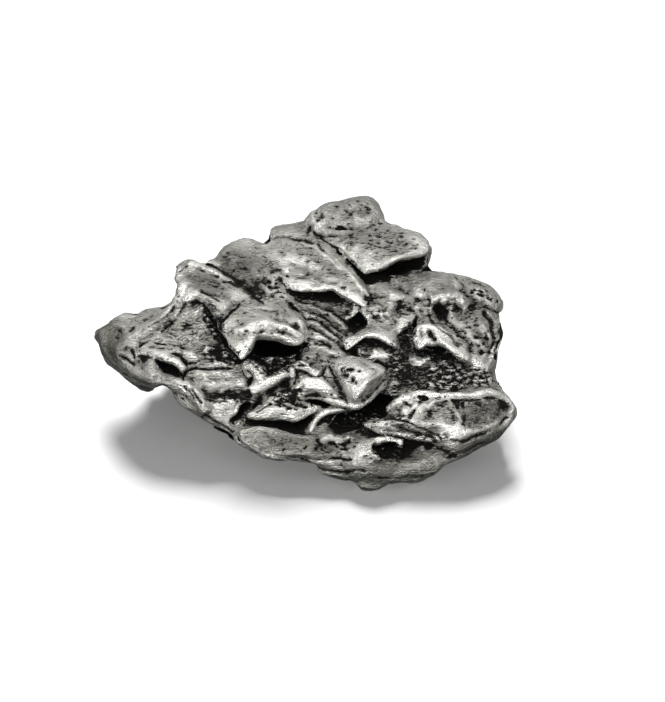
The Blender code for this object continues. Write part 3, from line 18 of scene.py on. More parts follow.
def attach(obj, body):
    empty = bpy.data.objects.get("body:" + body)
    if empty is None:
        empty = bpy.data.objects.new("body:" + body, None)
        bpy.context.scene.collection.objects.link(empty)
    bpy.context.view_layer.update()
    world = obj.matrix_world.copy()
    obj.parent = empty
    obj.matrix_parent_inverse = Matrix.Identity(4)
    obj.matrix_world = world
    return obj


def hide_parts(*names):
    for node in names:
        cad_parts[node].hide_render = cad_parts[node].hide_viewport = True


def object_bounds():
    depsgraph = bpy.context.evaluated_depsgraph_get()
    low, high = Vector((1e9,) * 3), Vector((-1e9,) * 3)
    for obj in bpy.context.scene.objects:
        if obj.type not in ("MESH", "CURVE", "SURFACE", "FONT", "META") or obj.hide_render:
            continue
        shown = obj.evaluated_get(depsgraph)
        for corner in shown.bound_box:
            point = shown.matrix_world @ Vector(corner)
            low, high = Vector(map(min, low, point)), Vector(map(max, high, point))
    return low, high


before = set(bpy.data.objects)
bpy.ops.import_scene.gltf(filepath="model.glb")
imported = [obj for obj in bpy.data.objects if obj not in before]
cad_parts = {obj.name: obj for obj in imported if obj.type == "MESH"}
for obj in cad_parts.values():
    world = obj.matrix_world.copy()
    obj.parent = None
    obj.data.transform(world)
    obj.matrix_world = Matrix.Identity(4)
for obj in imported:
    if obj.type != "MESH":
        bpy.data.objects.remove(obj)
cad_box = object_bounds()

# Driving dimensions. Shapes are worked out in grid steps and millimetres, and end in metres.
STONE_WIDTH = 50.0  # millimetres across its widest, side to side
STONE_STEPS = 423  # the same width in steps of the face grid
STEP = STONE_WIDTH / STONE_STEPS  # millimetres in one step
GRID_MIDDLE = (305, 343)  # the grid place, right and down, that lies over the middle of the heart
LOOK_DOWN = math.radians(35)  # the face is drawn as it is seen from this far above the horizon
FLOOR_STEPS = -88  # height of the ground below the grid's middle
MEAN_SLOPE = 0.42  # steps that the mean face comes nearer for each step down
MM = 0.001

# Fineness, in millimetres and triangles.
BODY_VOXEL = 0.5
SKIN_VOXEL = 0.2
SKIN_TRIANGLES = 190000
SHELTER_TRIANGLES = 24000
SHELTER_RAYS = 40
SHELTER_REACH = 7.0
HOLLOW_ROUNDS = (4, 20, 90)  # rounds of smoothing that fine, middle and broad hollows are measured against
CRUST_AND_SHADE_LIMIT = 0.62  # the most crust and painted shade in the open, which still leaves streaks of metal
GRAIN_SIZE = 0.6  # millimetres across one grain of the crumbly stretches
STREAK = np.array((0.6, 1.0, 1.3))  # pits and grains are drawn out from side to side

IMAGE_SIZE = (665, 702)  # the picture's pixels, which are also the face grid's steps
IMAGE_MIDDLE = (332.5, 351)
LENS = 400  # millimetres

# METAL_BRIGHT is rubbed metal, and also the painted highlight on the lit rims.
METAL_BRIGHT = (0.95, 0.94, 0.89, 1.0)
METAL_DULL = (0.615, 0.605, 0.56, 1.0)
METAL_WARM = (0.46, 0.44, 0.375, 1.0)
# Dark metal, for brushed streaks and for the darkened stretches, where it is painted shade on the low ones.
METAL_DARK = (0.19, 0.187, 0.165, 1.0)
# Crust colours, which also paint the shade in sheltered hollows black.
CRUST_AND_SHADE_BLACK = (0.006, 0.006, 0.006, 1.0)
CRUST_AND_SHADE_BROWN = (0.030, 0.026, 0.021, 1.0)
WHITE = (1.0, 1.0, 1.0, 1.0)
FLOOR_PALE = (0.86, 0.86, 0.86, 1.0)
FLOOR_GLOW = 0.13  # lifts the floor to white, and its shadow to grey
FLOOR_REACH = 1.5  # metres

# Streaks lie aslant and are drawn out: the turn in radians and the stretch of their pattern.
STREAK_TURN = (0.0, 0.35, 0.3)
STREAK_STRETCH = (0.34, 1.0, 1.35)
LINE_STRETCH = (0.5, 1.0, 1.25)

# Light for reflections: towards, outer and inner angle in degrees, and how bright.
SOFT_BOXES = {
    "sky": ((0.0, 0.0, 1.0), 96, 66, 0.52),
    "front": ((-0.15, -0.55, 0.82), 31, 14, 3.2),
    "left": ((-0.87, -0.10, 0.46), 36, 15, 0.5),
    "right": ((0.85, -0.3, 0.3), 28, 10, 0.4),
    "back": ((0.1, 0.85, 0.55), 50, 20, 0.16),
    "ground": ((0.0, 0.82, -0.57), 34, 12, 0.4),
}
DIMMEST = 0.08  # what is reflected where no soft box is
FLOOR_FILL = 0.22  # light that reaches the floor and the crust from all round

# The sun throws the shadow on the floor and isn't seen in the metal.
SUN_STRENGTH = 5.9
SUN_WIDTH = math.radians(20)
SUN_TURN = (math.radians(-52), 0, math.radians(6))

# Edges worn bright, with painted highlights along the lit rims and faces, such as shelf_patch, flap_face
# and right_lumps: grid points and half width in steps.
POLISH_AND_HIGHLIGHT_LINES = {
    "horn_ridge": ([(203, 265), (222, 275), (240, 286), (262, 300)], 2.0),
    "horn_edge": ([(176, 287), (175, 272), (180, 264), (187, 260), (197, 264)], 2.4),
    "horn_side": ([(181, 270), (183, 284), (180, 298), (168, 310)], 2.4),
    "shelf_rim": (
        [
            (366, 269), (376, 268), (384, 265.5), (392, 260.5), (400, 258), (408, 256.5), (416, 255),
            (425, 253),
        ],
        2.8,
    ),
    "shelf_patch": ([(335, 224), (342, 222), (348, 222)], 2.4),
    "flap_rim": (
        [(284, 281), (292, 287), (305, 289), (318, 289.5), (333, 290), (345, 297), (357, 304)], 3.0,
    ),
    "nuggets": ([(256, 274), (266, 276), (274, 280), (268, 288)], 5.0),
    "brow_welt": ([(242, 332), (250, 327), (262, 324), (280, 324)], 2.2),
    "brow_rim": ([(244, 342), (254, 337), (268, 334), (284, 337), (298, 341), (305, 338)], 3.0),
    "brow_loop": ([(288, 320), (299, 321), (304, 329), (305, 338)], 2.0),
    "belt": ([(118, 345), (121, 356), (134, 368), (152, 378), (172, 384), (188, 388)], 2.0),
    "wing_edge": ([(119, 343), (128, 338), (144, 333), (160, 325)], 2.2),
    "pocket_rim": ([(140, 354), (156, 357), (170, 361), (182, 368)], 2.4),
    "pocket_plug": ([(148, 366), (158, 370)], 4.5),
    "cheek_band": ([(200, 385), (222, 384), (243, 385)], 3.0),
    "cheek_crescent": ([(210, 403), (224, 406), (237, 404)], 2.2),
    "crossbar": ([(247, 391), (262, 387), (275, 381), (289, 373)], 3.0),
    "pillar": ([(250, 366), (256, 374), (261, 382)], 3.5),
    "spear": ([(246, 417), (258, 408), (270, 402), (284, 396)], 2.4),
    "spear_low": ([(248, 419), (270, 417), (292, 416), (310, 409)], 2.2),
    "ledge_top": ([(243, 428), (258, 429), (274, 430), (290, 435), (308, 436)], 1.8),
    "fin_rim": ([(348, 344), (353, 337), (366, 334), (382, 336), (393, 342), (398, 350)], 2.4),
    "fin_back": ([(345, 338), (356, 329), (370, 323), (386, 322)], 1.8),
    "feather": ([(393, 331), (400, 326), (410, 319), (418, 314)], 2.0),
    "tongue_tip": ([(391, 299), (400, 297), (407, 294)], 2.0),
    "nose_top": ([(330, 351), (345, 355), (360, 359), (375, 363), (387, 371)], 2.2),
    "nose_lip": (
        [(386, 377), (377, 389), (366, 399), (355, 405), (345, 402), (333, 399), (320, 396), (304, 397)],
        2.4,
    ),
    "bridge": ([(292, 380), (295, 371), (304, 367), (314, 372), (321, 381)], 2.6),
    "curl": ([(311, 429), (316, 420), (325, 414), (338, 411), (353, 407)], 2.4),
    "lobe_lip": ([(362, 426), (380, 431), (400, 433), (420, 438)], 1.6),
    "pocket_lip": ([(354, 457), (359, 450), (367, 442), (382, 438), (400, 440)], 2.2),
    "lobe_top": ([(402, 400), (420, 394), (446, 397), (470, 398), (490, 397), (505, 402)], 3.4),
    "lobe_low": ([(458, 436), (475, 432), (490, 427), (503, 421), (509, 413)], 2.8),
    "lobe_lumps": ([(404, 400), (412, 406), (422, 410)], 7.0),
    "dome_edge": ([(407, 300), (414, 294), (426, 290), (440, 292)], 1.8),
    "saddle_lumps": ([(440, 296), (452, 298), (461, 305)], 4.0),
    "right_brow": (
        [(413, 345), (418, 334), (426, 329), (437, 331), (449, 339), (461, 348), (468, 357)], 2.8,
    ),
    "small_tongue": ([(404, 365), (412, 358), (424, 358), (431, 357)], 2.4),
    "right_edge": ([(480, 330), (490, 338), (494, 350), (491, 364)], 2.6),
    "strip_nuggets": ([(352, 303), (364, 306), (380, 313)], 2.6),
    "flap_face": ([(288, 258), (302, 261), (316, 267)], 6.0),
    "right_lumps": ([(464, 333), (474, 338), (482, 346), (484, 356)], 3.2),
    "right_fleck": ([(466, 376), (476, 378)], 2.6),
}

# Where the grit is sharpest: middle, half sizes, turn in degrees.
GRITTY = (375, 370, 150, 85, 12)

# Stretches of the face that are darker than their shape makes them, which is painted shade on the low ones
# that face the ground, such as tip, belt, left_foot, ledge, band and foot: middle, half sizes, turn in
# degrees, amount.
DARKENED_STRETCHES = {
    "tip": (108, 342, 24, 34, -20, 0.9),
    "left_foot": (138, 384, 24, 12, 30, 0.8),
    "belt": (150, 374, 38, 12, 22, 0.7),
    "cheek_low": (205, 412, 26, 14, 40, 0.4),
    "cheek_hollow": (224, 394, 16, 5, 0, 0.7),
    "saddle": (243, 268, 38, 22, 38, 0.7),
    "horn": (206, 284, 34, 13, 25, 0.5),
    "wing_recess": (214, 320, 7, 24, -22, 0.7),
    "crest": (350, 210, 38, 20, -5, 0.5),
    "dome": (434, 284, 26, 14, 0, 0.6),
    "back_lobe": (292, 231, 24, 12, 0, 0.5),
    "dome_seam": (451, 285, 4, 14, -15, 0.7),
    "right_back": (478, 294, 26, 16, 30, 0.5),
    "nose_flank": (374, 381, 10, 8, -30, 0.5),
    "nose_low": (353, 394, 10, 6, 0, 0.4),
    "lobe_dish": (482, 413, 30, 13, -8, 0.9),
    "lobe_low": (415, 428, 36, 7, 5, 0.8),
    "lobe_below": (478, 440, 40, 12, -20, 0.9),
    "ledge": (290, 445, 60, 16, 12, 0.9),
    "band": (405, 466, 100, 18, -10, 0.85),
    "foot": (370, 484, 24, 12, 0, 0.7),
    "valley": (400, 362, 18, 40, 8, 0.5),
    "right_floor": (446, 377, 54, 15, 0, 0.2),
    "wing_shoulder": (148, 330, 30, 9, -35, 0.6),
    "nose_side": (374, 388, 12, 9, -35, 0.5),
    "brow_rim": (272, 336, 32, 8, 0, 0.4),
    "strip": (330, 318, 30, 22, 30, 0.55),
}

# Stretches of the face where the black crust has stayed, and where shade is painted black under rims and in
# gaps, such as shelf_under, under_flap and lip_gap: middle, half sizes, turn in degrees, amount.
# An amount below 0 is where the black has gone from the hollows too.
CRUST_AND_SHADE_ZONES = {
    "triangle": (409, 333, 9, 14, 15, 0.8),
    "strip": (322, 322, 32, 22, 30, -0.1),
    "valley": (400, 362, 14, 36, 8, 0.35),
    "right_floor": (446, 378, 50, 14, 0, 0.15),
    "cave": (268, 352, 26, 10, 0, 0.5),
    "wing": (176, 330, 28, 18, -35, -0.45),
    "cheek": (222, 382, 28, 14, 0, -0.4),
    "flap": (316, 270, 46, 20, 28, -0.6),
    "shelf": (388, 240, 48, 18, 8, -0.2),
    "lobe_top": (430, 408, 22, 14, 0, -0.25),
    "brow_top": (262, 308, 26, 10, 0, -0.3),
    "under_flap": (316, 297, 32, 6, 8, 0.4),
    "nuggets": (262, 288, 14, 8, 38, 0.3),
    "saddle_crease": (243, 287, 34, 6, 38, 0.3),
    "wing_recess": (216, 318, 8, 26, -22, 0.6),
    "wing_low": (226, 352, 20, 8, 10, 0.35),
    "cheek_hollow": (226, 395, 18, 5, 0, 0.6),
    "cheek_right": (244, 408, 8, 16, 20, 0.5),
    "spear_back": (288, 396, 20, 8, -10, 0.4),
    "knob": (398, 420, 16, 6, 10, 0.5),
    "lip_gap": (420, 438, 30, 5, 5, 0.5),
    "right_saddle": (446, 306, 18, 8, 10, 0.3),
    "right_slope": (470, 338, 18, 28, -30, -0.3),
    "shelf_under": (400, 268, 30, 6, -12, 0.9),
    "fin_back": (352, 322, 12, 8, -20, 0.3),
}

# The underside between the feet, in steps above the ground.
UNDER_CLEARANCE = 15
UNDER_UNEVENNESS = 5

# The sides that the face hides. Counts are of directions tried, and those that the face shows are passed
# over. Sizes, depths and radii are from and to, in steps.
SCALE_COUNT = 150
SCALE_SIZES = (18, 34)
SCALE_LIFTS = (0.2, 0.42)  # slopes of the scales against the skin
SCALE_THICKNESS = 0.36  # as a share of a scale's size
SCALE_SINK = 0.06  # how far under the skin, as a share of a scale's size
SCALE_UPHILL = np.array((0.25, 0.55, 1.0))  # the way that the scales' fixed edges mostly lie
SCOOP_COUNT = 60
SCOOP_SIZES = (12, 26)
SCOOP_DEPTHS = (5, 9)
SCOOP_THICKNESS = 2.8  # as a share of a scoop's depth, like its rise above the skin
SCOOP_RISE = 0.4
FOLD_COUNT = 90
FOLD_POINTS = 8
FOLD_RADII = (3.5, 6)
FOLD_STRIDE = 10  # steps between a fold's points
FOLD_SINK = 0.3  # how far under the skin, as a share of a fold's radius
DIRECTION_SCATTER = 0.08
HIDDEN_LIMIT = -0.3  # how far a spot has to face away from the face's viewer
LOW_EDGE = -60  # height, in steps, below which only what faces the ground is scaled or scooped
GROUND_FACING = -0.85  # how squarely that has to be
HEART_MIDDLE = STEP * np.array((15.0, 35.0, -30.0))
HEART_STRETCH = np.array((1.0, 0.7, 0.5))

# Roughness, in millimetres, and the drawn lines' unsteadiness, in steps.
NOISE_REACH = 1.6  # brings the noise's heights to about -1 to 1
CUT_RAGGEDNESS = 0.35  # how far the pockets' walls wander
GROUND_SOFTNESS = 0.5
LINE_WANDER = 1.5
LINE_FADE = 1.5  # half widths from a drawn line at which it has faded out
LINE_STRENGTH = 0.8  # share of a drawn height that is raised or sunk
SKIN_WAVES = 0.16
SKIN_RIPPLES = 0.07
SKIN_WARP = 0.15
SIDE_LAYERS = 0.2
SIDE_RIPPLES = 0.16
EDGE_SOFTNESS = 0.7  # steps over which the skin is eased in at the outer edge
FILL_SPREAD = 1.6  # how widely the upper creases are filled, in square millimetres
LAYER_HEIGHT = 2.2
LAYERS_FACE = np.array((0.15, -0.4, 1.0))
SIDE_FADE = 0.35  # how far a spot faces the viewer where the face's own relief is at its full height
WEAR_FADE = 0.3  # the same for its polish and crust

RIGHT = np.array((1.0, 0.0, 0.0))
UP = np.array((0.0, math.sin(LOOK_DOWN), math.cos(LOOK_DOWN)))
NEAR = np.array((0.0, -math.cos(LOOK_DOWN), math.sin(LOOK_DOWN)))


def slope_depth(y):
    """How near the stone's mean face lies at a grid row: low and near in front, high and far behind."""
    return MEAN_SLOPE * (y - GRID_MIDDLE[1])


def face_place(x, y, near):
    """Places in millimetres of points seen at grid (x, y), a number of steps nearer than the middle."""
    x, y, near = (np.asarray(value, float)[..., None] for value in (x, y, near))
    return STEP * ((x - GRID_MIDDLE[0]) * RIGHT + (GRID_MIDDLE[1] - y) * UP + near * NEAR)


def grid_of(places):
    """The grid x, grid y and nearness of places in millimetres."""
    steps = places / STEP
    return GRID_MIDDLE[0] + steps @ RIGHT, GRID_MIDDLE[1] - steps @ UP, steps @ NEAR


def smooth_run(points, closed, between=6):
    """A Catmull-Rom curve through the points, as an array of closely spaced ones."""
    points = np.array(points, float)
    if closed:
        padded = np.vstack((points[-1], points, points[:2]))
    else:
        padded = np.vstack((2 * points[0] - points[1], points, 2 * points[-1] - points[-2]))
    share = np.linspace(0, 1, between, endpoint=False)[:, None]
    runs = []
    for a, b, c, d in zip(padded, padded[1:], padded[2:], padded[3:]):
        runs.append(
            0.5 * (2 * b + (c - a) * share + (2 * a - 5 * b + 4 * c - d) * share**2)
            + 0.5 * (3 * b - a - 3 * c + d) * share**3
        )
    if not closed:
        runs.append(points[-1:])
    return np.vstack(runs)


def flake_skin(shape, loop, thick, tilt, lean, crown, edge):
    """A ball pressed into a flake inside a loop of offsets: its points, and how each lies on the flake."""
    angles = np.arctan2(loop[:, 1], loop[:, 0])
    order = np.argsort(angles)
    reach = np.hypot(loop[:, 0], loop[:, 1])
    finer = 5 if reach.max() > 45 else 4
    ball = bmesh.ops.create_icosphere(shape, subdivisions=finer, radius=1.0)["verts"]
    unit = np.array([vert.co for vert in ball])
    radius = np.minimum(np.hypot(unit[:, 0], unit[:, 1]), 1.0)
    angle = np.arctan2(unit[:, 1], unit[:, 0])
    span = radius * np.interp(angle, angles[order], reach[order], period=2 * math.pi)
    across, above = span * np.cos(angle), span * np.sin(angle)
    skin = np.sign(unit[:, 2]) * 0.5 * thick * np.sqrt(1 - radius**edge)
    near = tilt * above + lean * across + skin + crown * (1 - radius**2)
    return ball, across, above, near


def add_flake(shape, outline, centre, depth, thick, tilt=-0.75, lean=0.0, crown=0.0, edge=4.0):
    """A round-edged flake inside an outline on the face, nearer by depth than the mean face there."""
    loop = (smooth_run(outline, closed=True) - centre) * (1, -1)
    ball, across, above, near = flake_skin(shape, loop, thick, tilt, lean, crown, edge)
    near += slope_depth(centre[1]) + depth
    for vert, place in zip(ball, face_place(centre[0] + across, centre[1] - above, near)):
        vert.co = place


def add_scale(shape, place, outward, uphill, loop, thick, lift, edge):
    """A flake on any side of the stone, lying on its skin at a place, with its downhill edge lifted."""
    side = np.cross(uphill, outward)
    side /= np.linalg.norm(side)
    uphill = np.cross(outward, side)
    ball, across, above, near = flake_skin(shape, loop, thick, -lift, 0.0, 0.0, edge)
    local = across[:, None] * side + above[:, None] * uphill + near[:, None] * outward
    for vert, spot in zip(ball, place + STEP * local):
        vert.co = spot


def strands_mesh(strands):
    """Round rims and ribs along lines in millimetres, their thickness running through the radii."""
    curve = bpy.data.curves.new("strands", "CURVE")
    curve.dimensions = "3D"
    curve.bevel_depth = STEP
    curve.bevel_resolution = 3
    curve.use_fill_caps = True
    for line, radii in strands:
        radii = np.interp(np.linspace(0, 1, len(line)), np.linspace(0, 1, len(radii)), radii)
        spline = curve.splines.new("POLY")
        spline.points.add(len(line) - 1)
        for point, place, radius in zip(spline.points, line, radii):
            point.co = (*place, 1.0)
            point.radius = radius
    made = put_in_scene("strands", curve)
    mesh = bpy.data.meshes.new_from_object(made)
    bpy.data.objects.remove(made)
    return mesh


def add_lump(shape, middle, radii, turn=0.0):
    """An egg of the given radii round a middle, both in steps along the frame's own axes."""
    ball = bmesh.ops.create_icosphere(shape, subdivisions=4, radius=1.0)["verts"]
    unit = np.array([vert.co for vert in ball]) * radii
    c, s = math.cos(math.radians(turn)), math.sin(math.radians(turn))
    turned = np.column_stack((c * unit[:, 0] - s * unit[:, 1], s * unit[:, 0] + c * unit[:, 1], unit[:, 2]))
    for vert, place in zip(ball, STEP * (turned + middle)):
        vert.co = place


# The stone's outer edge as the face's viewer sees it, on the grid. Nothing reaches past it.
OUTER_EDGE = [
    (93, 336), (94, 331), (97, 327.5), (102, 325), (108, 322), (113, 317), (118, 314.5), (124, 313),
    (130, 313.5), (135, 315), (141, 312.5), (147, 310), (154, 308.5), (161, 308.5), (166, 304.5),
    (171, 300), (177, 296), (178, 290), (177, 283), (174.5, 276), (174, 271), (176, 267), (180, 263),
    (184, 260), (188, 258.7), (193, 260), (198, 263), (203, 264.5), (207, 262), (212, 257.5), (218, 252),
    (226, 244.5), (234, 239.5), (241, 237.5), (248, 237.8), (255, 240), (262, 243), (268, 243.5),
    (271, 240), (270, 234), (271.5, 228), (276, 223.5), (284, 221.5), (295, 220), (303, 218), (308, 212),
    (314, 207), (321, 203), (329, 200.3), (338, 199.5), (346, 196.5), (353, 193.8), (360, 192.8),
    (367, 193.5), (373, 196), (377, 201), (381, 207), (384.5, 213), (385, 219), (388, 223), (396, 224),
    (404, 226.5), (412, 230), (420, 234.5), (426, 239), (430, 244), (430.5, 250), (429.5, 258),
    (428.5, 266), (426, 270.5), (434, 270.3), (443, 271), (450, 273), (458, 274.3), (468, 275.7),
    (478, 278.8), (487, 283), (495, 289), (500, 295), (503, 302), (502.5, 308), (499.5, 312), (501, 322),
    (502, 333), (500.5, 342), (497.5, 349), (497, 358), (495.5, 367), (493.5, 373), (497, 380), (503, 387),
    (509, 394), (514, 401), (516.3, 409), (515.3, 417), (511, 426), (504, 434), (495, 441), (483, 446.5),
    (470, 452), (458, 458), (446, 462.5), (436, 468), (428, 475), (418, 480.5), (406, 483.3), (394, 483.5),
    (386, 485.5), (379, 489.5), (369, 492), (361, 490), (356, 483.5), (350, 479.3), (336, 479), (325, 475),
    (315, 468.5), (306, 462), (298, 459.3), (280, 459.6), (262, 459.8), (256, 455), (248, 449.5),
    (239, 447), (232, 442.5), (230, 435.5), (221, 431.5), (211, 426), (203, 420), (196, 414.5),
    (188, 409.5), (180, 404), (174, 398), (170.5, 391), (167, 385.5), (161, 384), (155.5, 386.5),
    (151.5, 392), (147, 393.7), (140, 391), (132, 385.5), (125, 379), (117, 371.5), (109, 363), (104, 355),
    (100, 347), (95, 341),
]

# The heart of the stone: eggs (middle, radii, turn in degrees) in steps along the frame's axes.
HEART = {
    "belly": ((15, 42, -56), (150, 85, 34), 4),
    "left_shoulder": ((-90, 40, -42), (80, 50, 32), -12),
    "right_shoulder": ((120, 15, -52), (72, 60, 30), 10),
    "crest_root": ((45, 98, 0), (92, 50, 48), 5),
    "right_back": ((135, 62, -20), (55, 45, 38), 0),
    "horn_root": ((-97, 66, 14), (40, 32, 28), -8),
    "front_keel": ((60, -50, -70), (100, 50, 16), 8),
}

# Where the stone stands, on the same terms.
FEET = {
    "front_root": ((66, -106, -70), (36, 26, 22), 0),
    "right_back": ((120, 56, -70), (44, 36, 22), 20),
    "left_back": ((-86, 48, -70), (44, 30, 22), -20),
}

# Flakes that belong to the heart: pockets are cut into these, and the outer flakes overhang them.
INNER_FLAKES = {
    "face_slab": dict(centre=(320, 345), depth=-44, thick=64, tilt=-0.42, edge=5.0, outline=[
        (112, 345), (140, 322), (178, 305), (190, 275), (222, 262), (248, 246), (280, 244), (312, 224),
        (345, 205), (376, 212), (400, 236), (420, 250), (428, 276), (460, 282), (492, 300), (494, 340),
        (486, 372), (504, 402), (498, 428), (460, 448), (415, 470), (345, 468), (300, 452), (250, 442),
        (205, 412), (165, 384), (128, 366),
    ]),
    "wing_root": dict(centre=(185, 352), depth=-30, thick=44, tilt=-0.4, edge=3.0, outline=[
        (112, 348), (140, 322), (180, 296), (215, 300), (248, 350), (240, 392), (190, 392), (140, 376),
    ]),
    "belt_root": dict(centre=(155, 366), depth=-20, thick=40, tilt=-0.3, edge=3.0, outline=[
        (106, 342), (130, 338), (175, 350), (200, 372), (198, 394), (176, 388), (148, 380), (120, 364),
    ]),
    "ledge_root": dict(centre=(315, 432), depth=-30, thick=46, tilt=-0.4, edge=3.0, outline=[
        (232, 420), (270, 404), (340, 402), (390, 420), (400, 450), (370, 466), (300, 456), (245, 440),
    ]),
    "lobe_root": dict(centre=(425, 436), depth=-22, thick=56, tilt=-0.4, edge=3.0, outline=[
        (345, 430), (400, 405), (470, 400), (506, 408), (500, 430), (455, 452), (405, 474), (352, 470),
    ]),
    "crest_slab": dict(centre=(340, 252), depth=-26, thick=36, tilt=-0.7, edge=3.5, outline=[
        (225, 262), (252, 243), (282, 240), (312, 214), (345, 200), (376, 204), (384, 224), (416, 236),
        (426, 252), (420, 275), (380, 300), (310, 300), (250, 285),
    ]),
    "left_tip": dict(centre=(135, 337), depth=-42, thick=46, tilt=-0.55, lean=0.05, edge=2.2, outline=[
        (89, 337), (91, 329), (100, 322), (112, 316), (121, 313.5), (128, 313.5), (135, 316),
        (144, 312), (152, 308.5), (161, 308.5), (168, 303), (178, 296), (180, 320), (165, 345),
        (140, 362), (120, 372), (108, 362), (104, 354), (101, 347), (93, 342),
    ]),
    "left_foot": dict(centre=(135, 370), depth=-50, thick=38, tilt=-0.2, edge=2.6, outline=[
        (103, 352), (115, 345), (140, 350), (160, 370), (168, 386), (158, 386), (152, 394), (146, 396),
        (140, 393), (132, 387), (124, 380), (115, 372), (107, 362),
    ]),
    "rough_saddle": dict(centre=(250, 268), depth=-3, thick=24, tilt=-0.8, lean=-0.12, edge=4.0, outline=[
        (207, 262), (222, 247), (231, 240), (240, 236.5), (249, 236.5), (257, 239.5), (266, 243.5),
        (282, 262), (290, 285), (296, 302), (272, 304), (250, 296), (232, 284), (215, 272),
    ]),
    "under_brow": dict(centre=(272, 362), depth=-20, thick=26, tilt=-0.5, edge=3.0, outline=[
        (244, 345), (262, 338), (285, 340), (303, 345), (300, 365), (288, 378), (262, 390), (246, 380),
    ]),
    "layered_strip": dict(centre=(324, 324), depth=-3, thick=26, tilt=-0.55, edge=3.5, outline=[
        (284, 298), (300, 294), (345, 298), (358, 308), (354, 320), (348, 330), (346, 346), (340, 354),
        (325, 349), (308, 351), (304, 335), (296, 315),
    ]),
    "right_floor": dict(centre=(445, 378), depth=-21, thick=34, tilt=-0.52, edge=3.0, outline=[
        (392, 352), (415, 345), (460, 350), (494, 372), (500, 385), (512, 398), (500, 408), (450, 405),
        (405, 405), (385, 400), (386, 375),
    ]),
    "cheek": dict(centre=(208, 398), depth=-14, thick=40, tilt=-0.35, edge=3.0, outline=[
        (170, 386), (185, 382), (200, 374), (225, 370), (244, 370), (252, 384), (248, 397), (238, 404),
        (232, 418), (231, 435), (221, 430), (213, 426), (203, 418), (196, 413), (190, 411), (181, 407),
        (174, 400), (171, 394),
    ]),
    "bottom_ledge": dict(centre=(304, 447), depth=-4, thick=34, tilt=-0.5, edge=4.5, outline=[
        (231, 436), (245, 428), (260, 425), (280, 431), (300, 437), (318, 433), (340, 430), (360, 436),
        (380, 446), (378, 464), (345, 470), (318, 468), (303, 459), (295, 458), (285, 459.5),
        (270, 460), (261, 459), (254, 452), (248, 448), (240, 446), (232, 440),
    ]),
    "right_saddle": dict(centre=(430, 305), depth=-10, thick=28, tilt=-0.75, edge=3.0, outline=[
        (404, 300), (412, 293), (426, 296), (440, 298), (455, 294), (466, 302), (462, 316), (444, 324),
        (426, 316), (410, 312),
    ]),
    "right_mass": dict(centre=(472, 336), depth=-13, thick=40, tilt=-0.5, lean=-0.15, edge=3.0, outline=[
        (440, 300), (455, 297), (470, 300), (485, 303), (495, 308), (500, 318), (501, 330), (502, 338),
        (499, 346), (497, 352), (496, 362), (493, 371), (480, 376), (466, 368), (458, 352), (448, 337),
        (436, 322), (432, 308),
    ]),
    "wing_floor": dict(centre=(212, 336), depth=-9, thick=24, tilt=-0.4, edge=3.0, outline=[
        (190, 300), (208, 298), (222, 318), (232, 345), (246, 362), (240, 376), (205, 370), (188, 345),
    ]),
    "horn_curtain": dict(centre=(189, 308), depth=8, thick=17, tilt=-0.05, edge=2.5, outline=[
        (178, 282), (190, 280), (205, 293), (209, 308), (201, 320), (186, 330), (170, 330), (170, 306),
    ]),
    "cheek_top": dict(centre=(215, 378), depth=-6, thick=22, tilt=-0.4, edge=3.0, outline=[
        (180, 372), (200, 362), (240, 362), (252, 378), (246, 394), (200, 394), (182, 386),
    ]),
    "cheek_floor": dict(centre=(240, 398), depth=-12, thick=26, tilt=-0.4, edge=3.0, outline=[
        (190, 386), (240, 382), (262, 382), (292, 368), (300, 382), (284, 398), (258, 406), (244, 418),
        (230, 430), (212, 424), (196, 408),
    ]),
    "fin_floor": dict(centre=(372, 345), depth=-7, thick=22, tilt=-0.45, edge=3.0, outline=[
        (340, 340), (355, 330), (385, 330), (402, 342), (402, 356), (385, 362), (355, 354),
    ]),
    "dome_root": dict(centre=(407, 291), depth=-14, thick=22, tilt=-0.6, edge=3.0, outline=[
        (394, 268), (414, 268), (424, 290), (418, 314), (398, 314), (390, 296),
    ]),
    "valley_floor": dict(centre=(400, 360), depth=-15, thick=24, tilt=-0.45, edge=3.0, outline=[
        (384, 326), (398, 316), (416, 310), (420, 330), (416, 360), (410, 390), (398, 402), (386, 398),
        (382, 365),
    ]),
}

